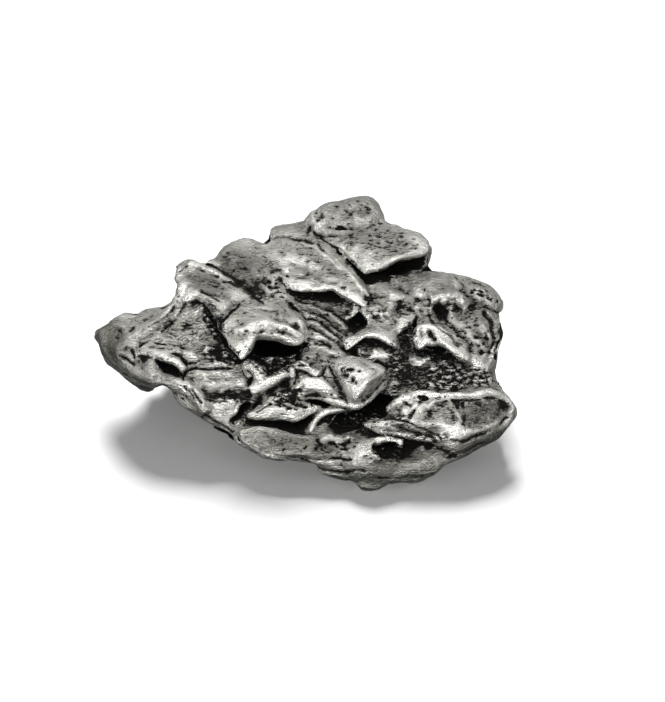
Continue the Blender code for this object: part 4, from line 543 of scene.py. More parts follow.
# Pockets cut into the heart: outline, depth of the floor at the centre, and how far the cut reaches out.
POCKETS = {
    "right_notch": dict(centre=(445, 256), depth=-50, thick=150, tilt=-0.4, edge=8.0, outline=[
        (431.5, 238), (452, 240), (470, 262), (456, 269.5), (434, 268.5), (430.5, 263),
    ]),
    "left_notch": dict(centre=(263, 233), depth=-50, thick=150, tilt=-0.4, edge=8.0, outline=[
        (255, 236), (259, 226), (267, 220), (268, 232), (267, 241), (261, 241),
    ]),
    "under_brow": dict(centre=(276, 348), depth=-12, thick=60, tilt=-0.5, edge=4.0, outline=[
        (249, 346), (255, 340), (265, 337), (285, 340), (301, 344), (299, 353), (285, 357), (262, 357),
    ]),
    "left_pocket": dict(centre=(166, 368), depth=2, thick=28, tilt=-0.3, edge=4.0, outline=[
        (150, 359), (164, 362), (177, 363), (182, 372), (180, 379), (166, 376), (153, 370),
    ]),
    "black_hole": dict(centre=(361, 320), depth=0, thick=44, tilt=-0.5, edge=2.0, outline=[
        (348, 329), (351, 321), (356, 314), (363, 315), (366, 321), (361, 326), (354, 330),
    ]),
    "shelf_shadow": dict(centre=(396, 269), depth=-4, thick=40, tilt=-0.6, edge=4.0, outline=[
        (362, 272), (384, 267), (397, 260), (428, 254), (428, 264), (414, 272), (400, 277), (385, 278),
        (366, 276),
    ]),
    "valley_mouth": dict(centre=(366, 413), depth=-10, thick=44, tilt=-0.5, edge=5.0, outline=[
        (385, 394), (396, 402), (388, 410), (384, 420), (367, 430), (334, 430), (343, 415), (360, 404),
        (374, 396),
    ]),
    "knob_notch": dict(centre=(389, 416), depth=8, thick=22, tilt=-0.5, edge=2.5, outline=[
        (381, 417), (386, 410), (392, 411), (397, 416), (392, 421), (382, 424),
    ]),
    "dome_pocket": dict(centre=(441, 313), depth=4, thick=24, tilt=-0.6, edge=2.5, outline=[
        (432, 311), (436, 306), (443, 307), (449, 311), (451, 318), (445, 322), (438, 317),
    ]),
    "lip_cave": dict(centre=(358, 418), depth=-10, thick=38, tilt=-0.4, edge=4.0, outline=[
        (326, 430), (340, 414), (362, 404), (386, 404), (386, 418), (366, 428), (345, 433),
    ]),
    "spear_gap": dict(centre=(284, 424), depth=0, thick=36, tilt=-0.5, edge=3.0, outline=[
        (246, 418), (262, 420), (296, 421), (312, 414), (316, 424), (308, 432), (285, 428), (262, 424),
    ]),
    "nose_shadow": dict(centre=(320, 401), depth=4, thick=30, tilt=-0.5, edge=3.0, outline=[
        (298, 400), (312, 395), (326, 398), (345, 405), (340, 409), (322, 406), (305, 405),
    ]),
    "cheek_gap": dict(centre=(242, 414), depth=-4, thick=34, tilt=-0.4, edge=3.0, outline=[
        (230, 434), (231, 420), (238, 409), (246, 402), (254, 403), (248, 410), (241, 419), (236, 429),
    ]),
    "lobe_pocket": dict(centre=(388, 452), depth=9, thick=28, tilt=-0.4, edge=3.5, outline=[
        (357, 459), (361, 450), (368, 443), (380, 440), (396, 440.5), (412, 443), (424, 446),
        (418, 453), (405, 458), (392, 462), (374, 463),
    ]),
    "lobe_slot": dict(centre=(414, 439), depth=12, thick=20, tilt=-0.4, edge=2.5, outline=[
        (370, 432), (390, 433), (405, 434), (418, 438), (432, 438), (446, 430), (456, 429), (448, 438),
        (436, 444), (420, 446), (404, 441), (386, 437),
    ]),
    "cheek_hollow": dict(centre=(225, 394), depth=12, thick=16, tilt=-0.3, edge=2.5, outline=[
        (207, 391), (220, 388), (238, 388), (243, 393), (236, 398), (220, 401), (210, 398),
    ]),
}

# The outer flakes, drawn where they are seen on the face.
OUTER_FLAKES = {
    "crest": dict(centre=(346, 215), depth=-14, thick=32, tilt=-0.85, crown=5, edge=2.5, outline=[
        (303, 219), (308, 211), (314, 206), (321, 202), (329, 199), (338, 199), (347, 196), (356, 193),
        (366, 192.5), (373, 195), (378, 201), (383, 208), (385, 214), (384, 222), (375, 232),
        (350, 240), (325, 236), (310, 228),
    ]),
    "shelf": dict(centre=(378, 244), depth=5, thick=11, tilt=-0.95, lean=0.07, crown=3, edge=6.0, outline=[
        (322, 234), (336, 247), (348, 258), (362, 272), (372, 270), (384, 267), (397, 260), (411, 257),
        (427, 255), (431, 247), (425, 237), (410, 229), (393, 223), (375, 217), (350, 214), (330, 222),
    ]),
    "back_left_lobe": dict(centre=(299, 235), depth=-16, thick=26, tilt=-0.8, crown=2, edge=2.2, outline=[
        (270, 233), (270.5, 228), (275, 224), (283, 221.5), (303, 218), (316, 222), (328, 236),
        (325, 250), (300, 254), (280, 248), (271, 241),
    ]),
    "long_flap": dict(
        centre=(312, 270), depth=7, thick=10, tilt=-0.8, lean=0.07, crown=4, edge=5.0, outline=[
            (262, 244), (272, 239), (285, 236.5), (300, 239), (316, 245), (330, 255), (345, 270),
            (358, 285), (369, 300), (366, 308), (357, 304), (345, 298), (333, 291.5), (318, 293),
            (300, 292), (290, 289), (284, 283), (280, 276), (268, 262), (258, 252),
        ],
    ),
    "flap_back_strip": dict(centre=(336, 266), depth=7, thick=14, tilt=-0.85, crown=2, edge=3.0, outline=[
        (300, 240), (318, 236), (336, 250), (350, 264), (362, 282), (372, 297), (368, 303), (356, 285),
        (338, 270), (318, 256),
    ]),
    "horn": dict(centre=(203, 285), depth=9, thick=20, tilt=-0.85, crown=2, edge=3.0, outline=[
        (175, 273), (177, 267), (181, 262.5), (187, 259.5), (193, 261), (201, 265.5), (215, 270),
        (232, 279), (252, 293), (245, 300), (232, 306), (218, 319), (208, 306), (197, 301), (184, 304),
        (177, 291), (175, 280),
    ]),
    "left_wing": dict(
        centre=(175, 334), depth=-4, thick=20, tilt=-0.38, lean=0.02, crown=-1, edge=5.0, outline=[
            (177, 288), (190, 288), (203, 296), (209, 312), (213, 326), (214, 340), (222, 352), (212, 362),
            (197, 364), (183, 363), (165, 357), (150, 354), (137, 352), (122, 350), (117, 343), (122, 336),
            (140, 327), (155, 320), (168, 308),
        ],
    ),
    "brow": dict(centre=(262, 322), depth=16, thick=15, tilt=-0.85, crown=9, edge=4.0, outline=[
        (217, 318), (232, 305), (245, 297), (257, 295.5), (270, 297), (285, 303), (298, 312),
        (304, 320), (307, 331), (305, 341), (297, 346), (285, 344), (275, 341.5), (262, 340.5),
        (253, 343), (249, 350), (247, 357), (242, 360), (237, 357), (228, 345), (222, 333),
    ]),
    "nose": dict(centre=(360, 379), depth=10, thick=24, tilt=-0.4, crown=6, edge=2.6, outline=[
        (333, 361), (345, 356), (358, 355), (370, 359), (381, 364), (386, 371), (384, 379), (377, 388),
        (370, 396), (363, 402), (354, 404.5), (347, 401), (341, 390), (336, 378),
    ]),
    "nose_bridge": dict(centre=(319, 374), depth=2, thick=22, tilt=-0.45, crown=2, edge=4.0, outline=[
        (300, 352), (310, 348), (325, 347), (340, 350), (352, 356), (348, 375), (348, 400), (335, 402),
        (322, 397), (308, 396), (298, 400), (290, 392), (287, 378), (290, 368), (298, 362),
    ]),
    "spear": dict(centre=(284, 408), depth=-1, thick=16, tilt=-0.5, crown=3, edge=3.0, outline=[
        (246, 417), (258, 407), (268, 397), (284, 387), (296, 397), (310, 403), (323, 404), (318, 412),
        (306, 418), (296, 422), (280, 420), (262, 420),
    ]),
    "right_front_lobe": dict(
        centre=(448, 420), depth=0, thick=38, tilt=-0.35, lean=-0.08, crown=3, edge=3.0, outline=[
            (389, 411), (396, 402), (404, 395), (420, 390), (447, 392.5), (470, 392), (490, 390.5),
            (503, 396), (512, 400), (516, 411), (512, 422), (505, 432), (495, 440), (483, 446), (470, 452),
            (455, 458), (440, 450), (425, 440), (400, 433), (380, 430), (364, 424), (374, 419), (388, 418),
        ],
    ),
    "right_dome": dict(centre=(434, 286), depth=-8, thick=26, tilt=-0.75, crown=3, edge=2.5, outline=[
        (406, 284), (410, 279), (416, 275), (424, 272), (432, 270.5), (441, 271), (450, 273),
        (460, 279), (464, 288), (454, 296), (438, 300), (424, 302), (413, 297),
    ]),
    "right_back_lobe": dict(
        centre=(476, 294), depth=-18, thick=30, tilt=-0.65, lean=-0.1, crown=2, edge=2.5, outline=[
            (448, 274), (458, 274), (468, 275.5), (478, 279), (488, 284), (496, 290), (501, 296),
            (503, 303), (500, 311), (488, 312), (470, 310), (452, 300),
        ],
    ),
    "right_brow": dict(centre=(433, 333), depth=2, thick=14, tilt=-0.8, crown=7, edge=4.0, outline=[
        (419, 308), (428, 307), (440, 318), (452, 332), (464, 347), (470, 361), (462, 362), (450, 352),
        (440, 347), (428, 347), (418, 350), (413, 346), (415, 334), (418, 320),
    ]),
    "fin": dict(centre=(372, 331), depth=6, thick=12, tilt=-0.8, crown=6, edge=4.0, outline=[
        (342, 346), (345, 336), (355, 328), (370, 321.5), (384, 321), (394, 327), (398, 338),
        (399, 350), (392, 345), (380, 340), (365, 338.5), (352, 341), (346, 350),
    ]),
    "feather": dict(centre=(403, 320), depth=0, thick=8, tilt=-0.8, lean=-0.1, crown=1, edge=3.0, outline=[
        (386, 319), (400, 312), (410, 308), (419, 308), (418, 316), (410, 326), (399, 334), (393, 331),
        (392, 325),
    ]),
    "tongue": dict(
        centre=(380, 288), depth=-6, thick=12, tilt=-0.8, lean=-0.05, crown=2, edge=4.0, outline=[
            (350, 279), (362, 275), (380, 274.5), (394, 280), (402, 289), (408, 297), (398, 300.5),
            (385, 299), (372, 297), (358, 292),
        ],
    ),
    "under_tongue": dict(centre=(377, 305), depth=-4, thick=16, tilt=-0.8, crown=2, edge=3.0, outline=[
        (356, 288), (372, 292), (388, 298), (398, 301), (394, 312), (388, 318), (374, 315), (362, 311),
        (356, 302),
    ]),
    "nugget_root": dict(centre=(360, 307), depth=0, thick=14, tilt=-0.6, crown=1, edge=3.0, outline=[
        (338, 302), (350, 296), (366, 298), (382, 302), (392, 308), (393, 321), (376, 324), (366, 322),
        (363, 315), (356, 313), (352, 319), (345, 321), (340, 312),
    ]),
    "small_tongue": dict(centre=(415, 360), depth=-8, thick=10, tilt=-0.6, edge=2.5, outline=[
        (404, 365), (411, 360), (410, 348), (414, 354), (424, 358), (433, 357), (426, 363), (418, 367),
    ]),
}

# Rims and ribs: grid points (x, y, depth) and radii in steps.
STRANDS = {
    "horn_ridge": (
        [(187, 266, 9), (202, 271, 11), (218, 278, 11), (236, 288, 10), (252, 297, 9)],
        (6, 6, 4),
    ),
    "horn_back_ridge": ([(182, 269, 6), (181, 281, 8), (184, 293, 8), (180, 304, 6)], (6, 6, 6)),
    "horn_fold": ([(187, 290, 12), (189, 300, 7), (184, 312, 3), (174, 324, 0)], (5, 5, 4)),
    "wing_ridge": ([(176, 308, 4), (163, 320, 2), (143, 333, -2), (125, 343, -6)], (7, 8, 8, 8)),
    "wing_inner_rib": ([(193, 305, 4), (190, 322, 0), (186, 345, -4), (190, 360, -2)], (4, 5, 4)),
    "belt": (
        [(120, 347, -10), (127, 360, -8), (140, 371, -4), (158, 379, 0), (178, 384, 2), (190, 387, 4)],
        (8, 9, 9, 8),
    ),
    "belt_tail": ([(190, 387, 4), (198, 398, 4), (206, 412, 0)], (8, 7, 6)),
    "tip_rib": ([(101, 332, -34), (106, 343, -30), (115, 355, -27), (128, 368, -26)], (6, 8, 8, 6)),
    "tip_upper_rib": ([(110, 323, -40), (122, 320, -38), (134, 321, -34)], (5, 6, 5)),
    "pocket_rim": ([(136, 352, -2), (150, 354, 2), (165, 357, 4), (178, 362, 5), (186, 370, 6)], (4, 4, 5)),
    "cheek_band": ([(196, 384, -7), (210, 388, -5), (228, 387, -4), (244, 383, -5)], (8, 9, 9, 8)),
    "cheek_fold": ([(204, 401, -3), (218, 405, -1), (236, 404, -1)], (6, 6.5, 5)),
    "crossbar": ([(250, 392, 3), (258, 389, 4), (268, 384, 5), (279, 378, 5), (289, 371, 4)], (7, 8, 7, 5)),
    "pillar": ([(247, 362, 0), (254, 372, 2), (262, 381, 3)], (7, 9, 8)),
    "bridge_fold": (
        [(291, 380, 10), (293, 371, 11), (300, 367, 12), (312, 372, 11), (320, 380, 9)],
        (5, 6, 5),
    ),
    "bridge_knob": ([(304, 386, 10), (316, 386, 11), (330, 392, 10)], (6, 7, 6)),
    "nose_lip": (
        [
            (297, 401, 3), (306, 397, 4), (320, 397, 5), (332, 401, 7), (345, 404, 9), (354, 406, 10),
            (366, 401, 9), (377, 391, 8), (386, 377, 6),
        ],
        (3.2, 3.2, 3.6, 3.6, 3.2),
    ),
    "curl_strip": (
        [(311, 430, -6), (314, 421, -4), (322, 413, -2), (336, 409, 0), (352, 408, 2)],
        (3.5, 4.5, 4),
    ),
    "ledge_rim": (
        [(240, 434, 4), (256, 430, 5), (274, 431, 7), (290, 436, 7), (310, 438, 6)],
        (3.6, 4, 3.6),
    ),
    "ledge_lower_rim": ([(284, 454, 0), (300, 456, 2), (330, 461, 3), (360, 468, 2)], (4, 5, 7)),
    "ledge_grain": ([(322, 440, 4), (336, 443, 6), (352, 440, 4)], (8, 9, 7)),
    "bottom_band": (
        [
            (318, 462, -4), (345, 468, -2), (372, 471, 0), (400, 470, 0), (430, 464, -2), (458, 452, -6),
            (486, 438, -12),
        ],
        (10, 12, 13, 13, 12, 10, 8),
    ),
    "front_foot": ([(358, 474, -8), (367, 479, -7), (378, 478, -8), (388, 474, -10)], (11, 13, 12, 9)),
    "lobe_top_rim": (
        [
            (403, 399, 14), (420, 395, 16), (447, 397, 18), (470, 397, 17), (490, 395, 12), (505, 401, 4),
            (512, 411, -2),
        ],
        (6, 6, 5.5, 5, 5, 6, 7),
    ),
    "lobe_low_rim": (
        [(456, 437, 10), (466, 435, 11), (478, 432, 11), (492, 427, 8), (504, 419, 3)],
        (4.5, 5, 4.5),
    ),
    "lobe_knob": ([(387, 410, 4), (394, 408, 8), (404, 402, 12)], (4.5, 6, 8)),
    "lobe_left_fold": ([(406, 409, 11), (420, 410, 14), (434, 404, 15), (446, 399, 15)], (6, 7, 6)),
    "lobe_lip": (
        [(364, 424, 6), (380, 430, 10), (400, 433, 12), (420, 437, 12), (438, 439, 10)],
        (3, 3.2, 3),
    ),
    "pocket_lip": (
        [(357, 456, 8), (362, 449, 8), (372, 442, 8), (388, 439, 8), (402, 441, 8)],
        (3, 3.2, 3),
    ),
    "shelf_rim": (
        [(366, 270, 8), (382, 267, 9), (392, 261.5, 9), (408, 257, 9), (424, 254.5, 8)],
        (3, 3.2, 3),
    ),
    "shelf_corner": ([(423, 254, 7), (426, 248, 2), (427, 242, -4)], (3.5, 3, 3)),
    "pocket_plug": ([(146, 364, -2), (152, 367, 0), (159, 371, 1)], (6, 7, 5)),
    "flap_rim": (
        [
            (284, 281, 4), (290, 286, 5), (302, 288, 6), (318, 289, 6), (333, 289, 6), (345, 296, 5),
            (357, 302, 4), (366, 307, 2),
        ],
        (4, 5, 4.5, 4, 3.5),
    ),
    "brow_rim": (
        [(242, 352, 12), (244, 338, 15), (256, 331, 18), (272, 331, 18), (288, 337, 15), (301, 340, 10)],
        (5, 7, 7, 7, 6, 5),
    ),
    "brow_right_rim": ([(285, 322, 17), (298, 321, 13), (304, 331, 9), (304, 342, 8)], (4, 4, 4)),
    "fin_rim": ([(350, 339, 8), (362, 336, 10), (376, 336, 10), (388, 341, 8), (396, 347, 5)], (3.5, 4, 4)),
    "right_brow_rim": (
        [(415, 344, 4), (420, 333, 7), (429, 328, 9), (442, 333, 9), (455, 343, 7), (464, 354, 3)],
        (5, 6, 7, 6, 5),
    ),
    "right_lumpy_ridge": ([(430, 300, 6), (445, 297, 8), (458, 299, 6), (468, 308, 2)], (6, 7, 6)),
    "right_edge_rim": (
        [(480, 326, 2), (489, 336, 0), (492, 350, -2), (488, 362, -4), (478, 370, -6)], (5, 6, 5),
    ),
}

# Creases and welts drawn on the face: grid points, half width, and height (below the skin when negative).
STROKES = {
    "flap_crease": ([(298, 249), (306, 255), (319, 262)], 1.5, -1.3),
    "flap_welt": ([(303, 241), (322, 251), (345, 272), (362, 291)], 3.0, 1.8),
    "flap_back_crease": ([(318, 243), (336, 262), (352, 282), (366, 298)], 1.6, -1.2),
    "flap_low_crease": ([(286, 277), (305, 279), (325, 284), (345, 290)], 2.2, -1.4),
    "shelf_root": ([(322, 236), (335, 245), (345, 253), (352, 262), (361, 273)], 1.6, -1.6),
    "shelf_step": ([(333, 224), (340, 222.5), (348, 222)], 2.0, 1.2),
    "shelf_rim": ([(364, 270), (384, 267), (391, 262), (402, 258.5), (424, 254)], 2.2, 1.8),
    "crest_fold": ([(308, 232), (312, 222), (322, 216)], 2.0, -1.4),
    "crest_line": ([(311, 208), (313, 220), (318, 230)], 3.0, 1.5),
    "lobe_back_fold": ([(271, 238), (284, 236), (300, 238), (312, 243)], 2.2, -1.6),
    "saddle_root": ([(206, 265), (222, 271), (237, 281), (250, 291), (263, 300)], 1.8, -1.4),
    "horn_inner": ([(181, 273), (186, 267), (194, 266), (206, 271), (216, 274)], 2.4, -1.4),
    "horn_slit": ([(222, 281), (229, 281), (237, 284)], 1.6, -1.6),
    "horn_low_slit": ([(202, 291), (211, 295), (219, 302)], 1.8, -1.6),
    "wing_crease": ([(187, 299), (182, 312), (173, 323), (162, 332)], 2.0, -1.3),
    "wing_outer_crease": ([(178, 303), (168, 315), (152, 325), (136, 333)], 2.0, -1.3),
    "wing_shelf": ([(146, 348), (163, 352), (180, 351), (196, 356)], 3.4, 2.0),
    "wing_low_line": ([(141, 346), (150, 341), (160, 343), (176, 346)], 1.8, -1.2),
    "tip_slit": ([(121, 356.5), (128, 359), (134, 363)], 2.0, -3.2),
    "tip_fold": ([(117, 338), (122, 340), (128, 335), (133, 328)], 2.4, -2.0),
    "tip_welt": ([(112, 322), (124, 328), (128, 336)], 3.4, 1.8),
    "belt_slit": ([(132, 350), (134, 353), (135, 356)], 1.6, -2.6),
    "long_crack": (
        [(183, 378), (188, 371), (197, 367.5), (208, 368.5), (220, 368.5), (232, 367)], 1.2, -4.0,
    ),
    "cheek_slit": ([(193, 388), (196, 394), (200, 401)], 1.8, -3.4),
    "cheek_small_slit": ([(184, 386), (190, 391), (193, 396)], 1.9, -2.8),
    "cheek_low_line": ([(203, 416), (216, 424), (230, 431)], 2.0, -4.0),
    "crossbar_line": ([(250, 397), (262, 395), (272, 390), (288, 379)], 1.8, -1.6),
    "pillar_fold": ([(247, 371), (251, 376), (249, 384)], 1.8, -2.6),
    "brow_upper_line": ([(222, 321), (232, 313), (241, 304)], 1.5, -1.4),
    "brow_left_line": ([(219, 318), (222, 332), (230, 345), (238, 356)], 1.4, -1.6),
    "brow_lip": ([(238, 332), (254, 324), (272, 322), (288, 328), (301, 336)], 4.0, 2.4),
    "brow_lip_groove": ([(254, 332), (268, 331), (282, 333)], 1.8, -1.8),
    "brow_top_lines": ([(244, 312), (262, 308), (280, 312)], 1.8, -1.0),
    "brow_back_fold": ([(290, 306), (300, 313), (306, 322)], 2.2, -1.6),
    "strip_groove_one": ([(296, 300), (316, 306), (334, 314), (350, 326)], 1.3, -1.2),
    "strip_groove_two": ([(300, 309), (317, 315), (334, 325), (346, 335)], 1.4, -1.4),
    "strip_groove_three": ([(303, 318), (318, 322), (332, 332), (344, 343)], 1.3, -1.1),
    "strip_groove_four": ([(306, 328), (320, 332), (333, 341), (342, 349)], 1.4, -1.3),
    "strip_groove_five": ([(308, 338), (320, 341), (332, 348)], 1.2, -1.0),
    "strip_ridge": ([(300, 304), (318, 310), (336, 320), (348, 331)], 2.0, 1.2),
    "strip_low_ridge": ([(305, 323), (320, 327), (335, 338)], 2.0, 1.2),
    "lip_crease": ([(368, 421), (385, 424), (402, 427.5), (420, 432)], 1.3, -2.2),
    "lip_upper_crease": ([(384, 419), (400, 420), (416, 424), (432, 431)], 1.3, -1.8),
    "dish_line": ([(462, 404), (464, 414), (461, 424)], 1.4, -1.2),
    "fin_crease": ([(346, 334), (360, 327), (376, 325), (388, 330)], 2.2, -1.2),
    "nose_edge": ([(303, 350), (322, 349), (345, 354), (368, 360), (384, 369)], 3.0, 1.8),
    "nose_facet": ([(384, 371), (376, 377), (366, 384), (357, 397)], 2.2, 1.8),
    "nose_flank": ([(381, 380), (373, 389), (364, 396)], 5.0, -2.2),
    "spear_fold": ([(258, 412), (272, 403), (286, 400), (304, 406)], 1.6, -1.8),
    "nose_valley": ([(329, 367), (335, 378), (341, 388)], 1.2, -1.6),
    "bridge_left_fold": ([(291, 366), (296, 374), (293, 384)], 1.8, -2.4),
    "bridge_fold_line": ([(304, 374), (312, 377), (322, 375), (326, 366)], 2.0, -1.8),
    "spear_line": ([(262, 404), (276, 404), (290, 408)], 2.0, -1.8),
    "spear_ridge": ([(252, 414), (268, 409), (284, 411), (300, 410)], 3.0, 1.6),
    "ledge_fold": ([(262, 446), (275, 453), (300, 456), (350, 458)], 1.8, -1.4),
    "ledge_left_line": ([(236, 436), (246, 444), (256, 452)], 2.0, -2.2),
    "band_dark_line": ([(302, 459), (322, 469), (345, 472), (364, 470)], 2.0, -2.6),
    "band_lower_line": ([(358, 475), (376, 478), (396, 478), (420, 475)], 1.6, -1.4),
    "band_right_line": ([(446, 456), (464, 450), (482, 444)], 1.8, -2.0),
    "lobe_edge_line": ([(452, 440), (470, 438), (490, 431), (508, 418)], 2.0, -2.6),
    "lobe_hollow": ([(462, 411), (478, 414), (497, 412)], 13.0, -2.6),
    "lobe_ridge_line": ([(446, 397), (452, 405), (457, 414), (461, 422)], 2.0, 1.0),
    "lobe_crack": ([(420, 402), (415, 409), (410, 417)], 1.8, -2.4),
    "lobe_top_slit": ([(419, 397), (423, 399), (427, 398)], 1.8, -2.6),
    "right_brow_edge": ([(418, 309), (420, 321), (416, 338)], 2.4, 1.6),
    "right_brow_line": ([(430, 316), (444, 329), (459, 345)], 2.0, -2.4),
    "right_slope_line": ([(440, 312), (455, 329), (470, 344)], 2.0, -2.0),
    "right_edge_groove": ([(486, 312), (492, 322), (494, 338), (491, 352)], 2.2, -2.6),
    "lobe_second_hollow": ([(430, 412), (440, 411), (449, 417)], 7.0, -2.0),
    "lobe_bright_fold": ([(446, 398), (436, 401), (428, 406)], 2.4, 1.2),
    "bridge_low_fold": ([(297, 389), (303, 382), (315, 379), (326, 384), (337, 394)], 2.6, 1.8),
    "right_top_groove": ([(456, 277), (463, 286), (466, 298)], 2.0, -1.6),
}

# Pits and small knobs on the face: grid place, radius and height in steps.
PITS = {
    "rough_nuggets": [
        (256, 276, 4.6, 2.6), (264, 271, 4.4, 2.8), (271, 278, 4.4, 2.6), (262, 285, 4.2, 2.4),
        (269, 291, 4.0, 2.2), (277, 275, 3.6, 2.2), (276, 291, 3.6, 2.2),
    ],
    "strip_nuggets": [
        (347, 317, 2.6, 1.6), (355, 307, 2.6, 1.4), (364, 306, 3.2, 2.0), (369, 315, 2.6, 1.6),
        (375, 312, 2.8, 2.2), (381, 313, 2.8, 2.2), (387, 313, 2.4, 2.0),
    ],
    "brow": [(296, 326, 4.6, -3.6)],
    "nose": [
        (345, 374, 3.6, -3.2), (341, 368, 2.2, -2.0), (353, 379, 2.4, -2.2), (356, 382, 1.8, -1.6),
        (360, 372, 2.0, -1.8), (349, 369, 1.8, -1.6),
    ],
    "right_brow": [(430, 333, 3.2, -3.6), (433, 338, 2.8, -2.8)],
    "right_saddle": [
        (456, 296, 3.4, 2.2), (462, 304, 3.6, 2.2), (448, 296, 3.4, 1.8), (444, 302, 3.0, 1.8),
        (453, 308, 3.0, 2.0), (427, 302, 3.0, 1.4),
    ],
    "right_edge": [(482, 353, 3.2, -2.6), (470, 352, 2.6, -2.0), (493, 350, 3.0, 1.6)],
    "lobe": [
        (426, 446, 4.4, -4.2), (398, 445, 3.2, 3.0), (371, 453, 4.0, 3.0), (423, 398, 2.8, -2.4),
        (409, 399, 4.0, 2.4), (418, 407, 4.4, 2.2), (406, 411, 3.4, 1.8),
    ],
    "left": [(152, 366, 6.0, 3.0), (160, 371, 4.0, 2.6), (226, 354, 3.4, 2.0), (208, 350, 3.0, 1.8)],
    "spear": [(265, 396, 3.6, 2.2), (286, 396, 3.8, 2.2), (294, 399, 2.6, -2.0)],
    "ledge": [
        (330, 434, 3.4, 2.0), (338, 439, 3.6, 2.0), (323, 439, 3.2, 1.8), (348, 436, 3.2, 1.8),
        (331, 444, 2.6, -2.0), (316, 446, 2.6, -1.6),
    ],
}

# Stretches of the face eaten by small ragged pits: middle, half sizes, turn in degrees, and depth in steps.
PITTED = {
    "shelf": (388, 240, 48, 18, 8, 1.0),
    "crest": (360, 208, 24, 12, -5, 0.8),
    "shelf_patch": (336, 230, 16, 7, 0, 2.4),
    "saddle": (234, 262, 24, 12, 30, 0.7),
    "nuggets": (266, 282, 18, 13, 35, 2.8),
    "flap": (310, 266, 40, 12, 25, 0.5),
    "horn": (208, 287, 28, 10, 20, 0.7),
    "nose": (349, 375, 12, 11, 20, 1.6),
    "right_back": (480, 294, 24, 16, 25, 1.8),
    "right_slope": (470, 332, 24, 30, -35, 1.4),
    "ledge": (334, 442, 26, 10, 0, 1.8),
    "spear": (290, 404, 24, 8, 5, 1.8),
    "bridge": (312, 362, 20, 9, 0, 1.4),
}

# Crumbly, granular stretches of the face, on the same terms, with the height of the grains.
CRUMBLY = {
    "right_floor": (446, 377, 54, 15, 0, 1.5),
    "strip": (326, 322, 28, 18, 30, 0.5),
    "granules": (222, 354, 24, 13, 10, 1.3),
    "wing_dark": (213, 322, 9, 24, -22, 1.2),
    "under_brow": (276, 366, 32, 13, 0, 1.4),
    "valley": (395, 370, 12, 40, 8, 1.3),
    "lobe_pocket": (384, 453, 26, 12, 0, 1.2),
    "cave": (350, 420, 32, 13, 0, 1.0),
    "fin_pit": (366, 345, 16, 8, 0, 1.3),
    "saddle_crease": (247, 288, 24, 7, 38, 0.9),
    "right_hollow": (440, 354, 28, 8, 10, 1.3),
    "spear_top": (284, 396, 20, 8, -20, 1.2),
    "triangle": (409, 333, 9, 13, 15, 1.2),
    "cheek": (222, 396, 22, 9, 0, 0.8),
    "cave_right": (430, 436, 22, 5, 5, 0.8),
    "right_back": (484, 296, 16, 10, 30, 0.8),
}


def put_in_scene(name, data):
    made = bpy.data.objects.new(name, data)
    bpy.context.scene.collection.objects.link(made)
    return made


def new_object(name, shape):
    mesh = bpy.data.meshes.new(name)
    shape.to_mesh(mesh)
    shape.free()
    return put_in_scene(name, mesh)


def reshape(made, kind, **settings):
    """Adds one modifier to an object and applies it to the mesh."""
    modifier = made.modifiers.new(kind, kind)
    for name, value in settings.items():
        setattr(modifier, name, value)
    graph = bpy.context.evaluated_depsgraph_get()
    mesh = bpy.data.meshes.new_from_object(made.evaluated_get(graph))
    made.modifiers.clear()
    made.data = mesh
    return made


def fuse(made, voxel):
    """Melts overlapping closed shapes into one skin."""
    return reshape(made, "REMESH", mode="VOXEL", voxel_size=voxel)


def smoothed(made):
    return reshape(made, "SMOOTH", factor=0.5, iterations=2)


def cut_away(body, shape):
    """Cuts a set of closed shapes from a body."""
    cutter = fuse(new_object("cutter", shape), BODY_VOXEL)
    places = places_of(cutter.data)
    ragged = np.column_stack([swell(places, 1.6, seed) for seed in (81, 82, 83)])
    put_places(cutter.data, places + CUT_RAGGEDNESS * ragged)
    reshape(body, "BOOLEAN", operation="DIFFERENCE", object=cutter)
    bpy.data.objects.remove(cutter)
    return body


def vectors_of(mesh, kind):
    vectors = np.empty(len(mesh.vertices) * 3)
    mesh.vertices.foreach_get(kind, vectors)
    return vectors.reshape(-1, 3)


def places_of(mesh):
    return vectors_of(mesh, "co")


def facings_of(mesh):
    return vectors_of(mesh, "normal")


def put_places(mesh, places):
    mesh.vertices.foreach_set("co", places.ravel())
    mesh.update()


def swell(places, size, seed):
    """Smooth random heights, about -1 to 1, whose bumps are roughly that size in millimetres."""
    shifted = places / size + (seed * 17.3, seed * 5.9, seed * 11.1)
    return np.array([noise.noise(place) for place in shifted.tolist()]) * NOISE_REACH


def turned_away(count, seed):
    """Evenly spread directions round the stone, a little disordered."""
    chance = np.random.default_rng(seed)
    golden = math.pi * (3 - math.sqrt(5))
    for turn in range(count):
        rise = 1 - 2 * (turn + 0.5) / count
        flat = math.sqrt(1 - rise * rise)
        way = np.array((flat * math.cos(turn * golden), flat * math.sin(turn * golden), rise))
        way += chance.normal(0, DIRECTION_SCATTER, 3)
        yield way / np.linalg.norm(way), chance


def skin_spot(tree, way):
    """Where the line in from a direction meets the skin, and the way that the skin faces there."""
    far = STONE_WIDTH * 2 * way * HEART_STRETCH + HEART_MIDDLE
    hit, facing, _, _ = tree.ray_cast(far, HEART_MIDDLE - far)
    return np.array(hit), np.array(facing)


def ragged_round(size, chance):
    """A closed loop of offsets, about as far out as its size but uneven."""
    wobble = chance.uniform(0.7, 1.3, 9)
    angles = np.linspace(0, 2 * math.pi, len(wobble), endpoint=False)
    corners = size * wobble[:, None] * np.column_stack((1.3 * np.cos(angles), np.sin(angles)))
    return smooth_run(corners, closed=True)


def clear_of_ground(place, facing):
    """Whether a spot is well above the ground, or faces it squarely."""
    return place[2] > LOW_EDGE * STEP or facing[2] < GROUND_FACING


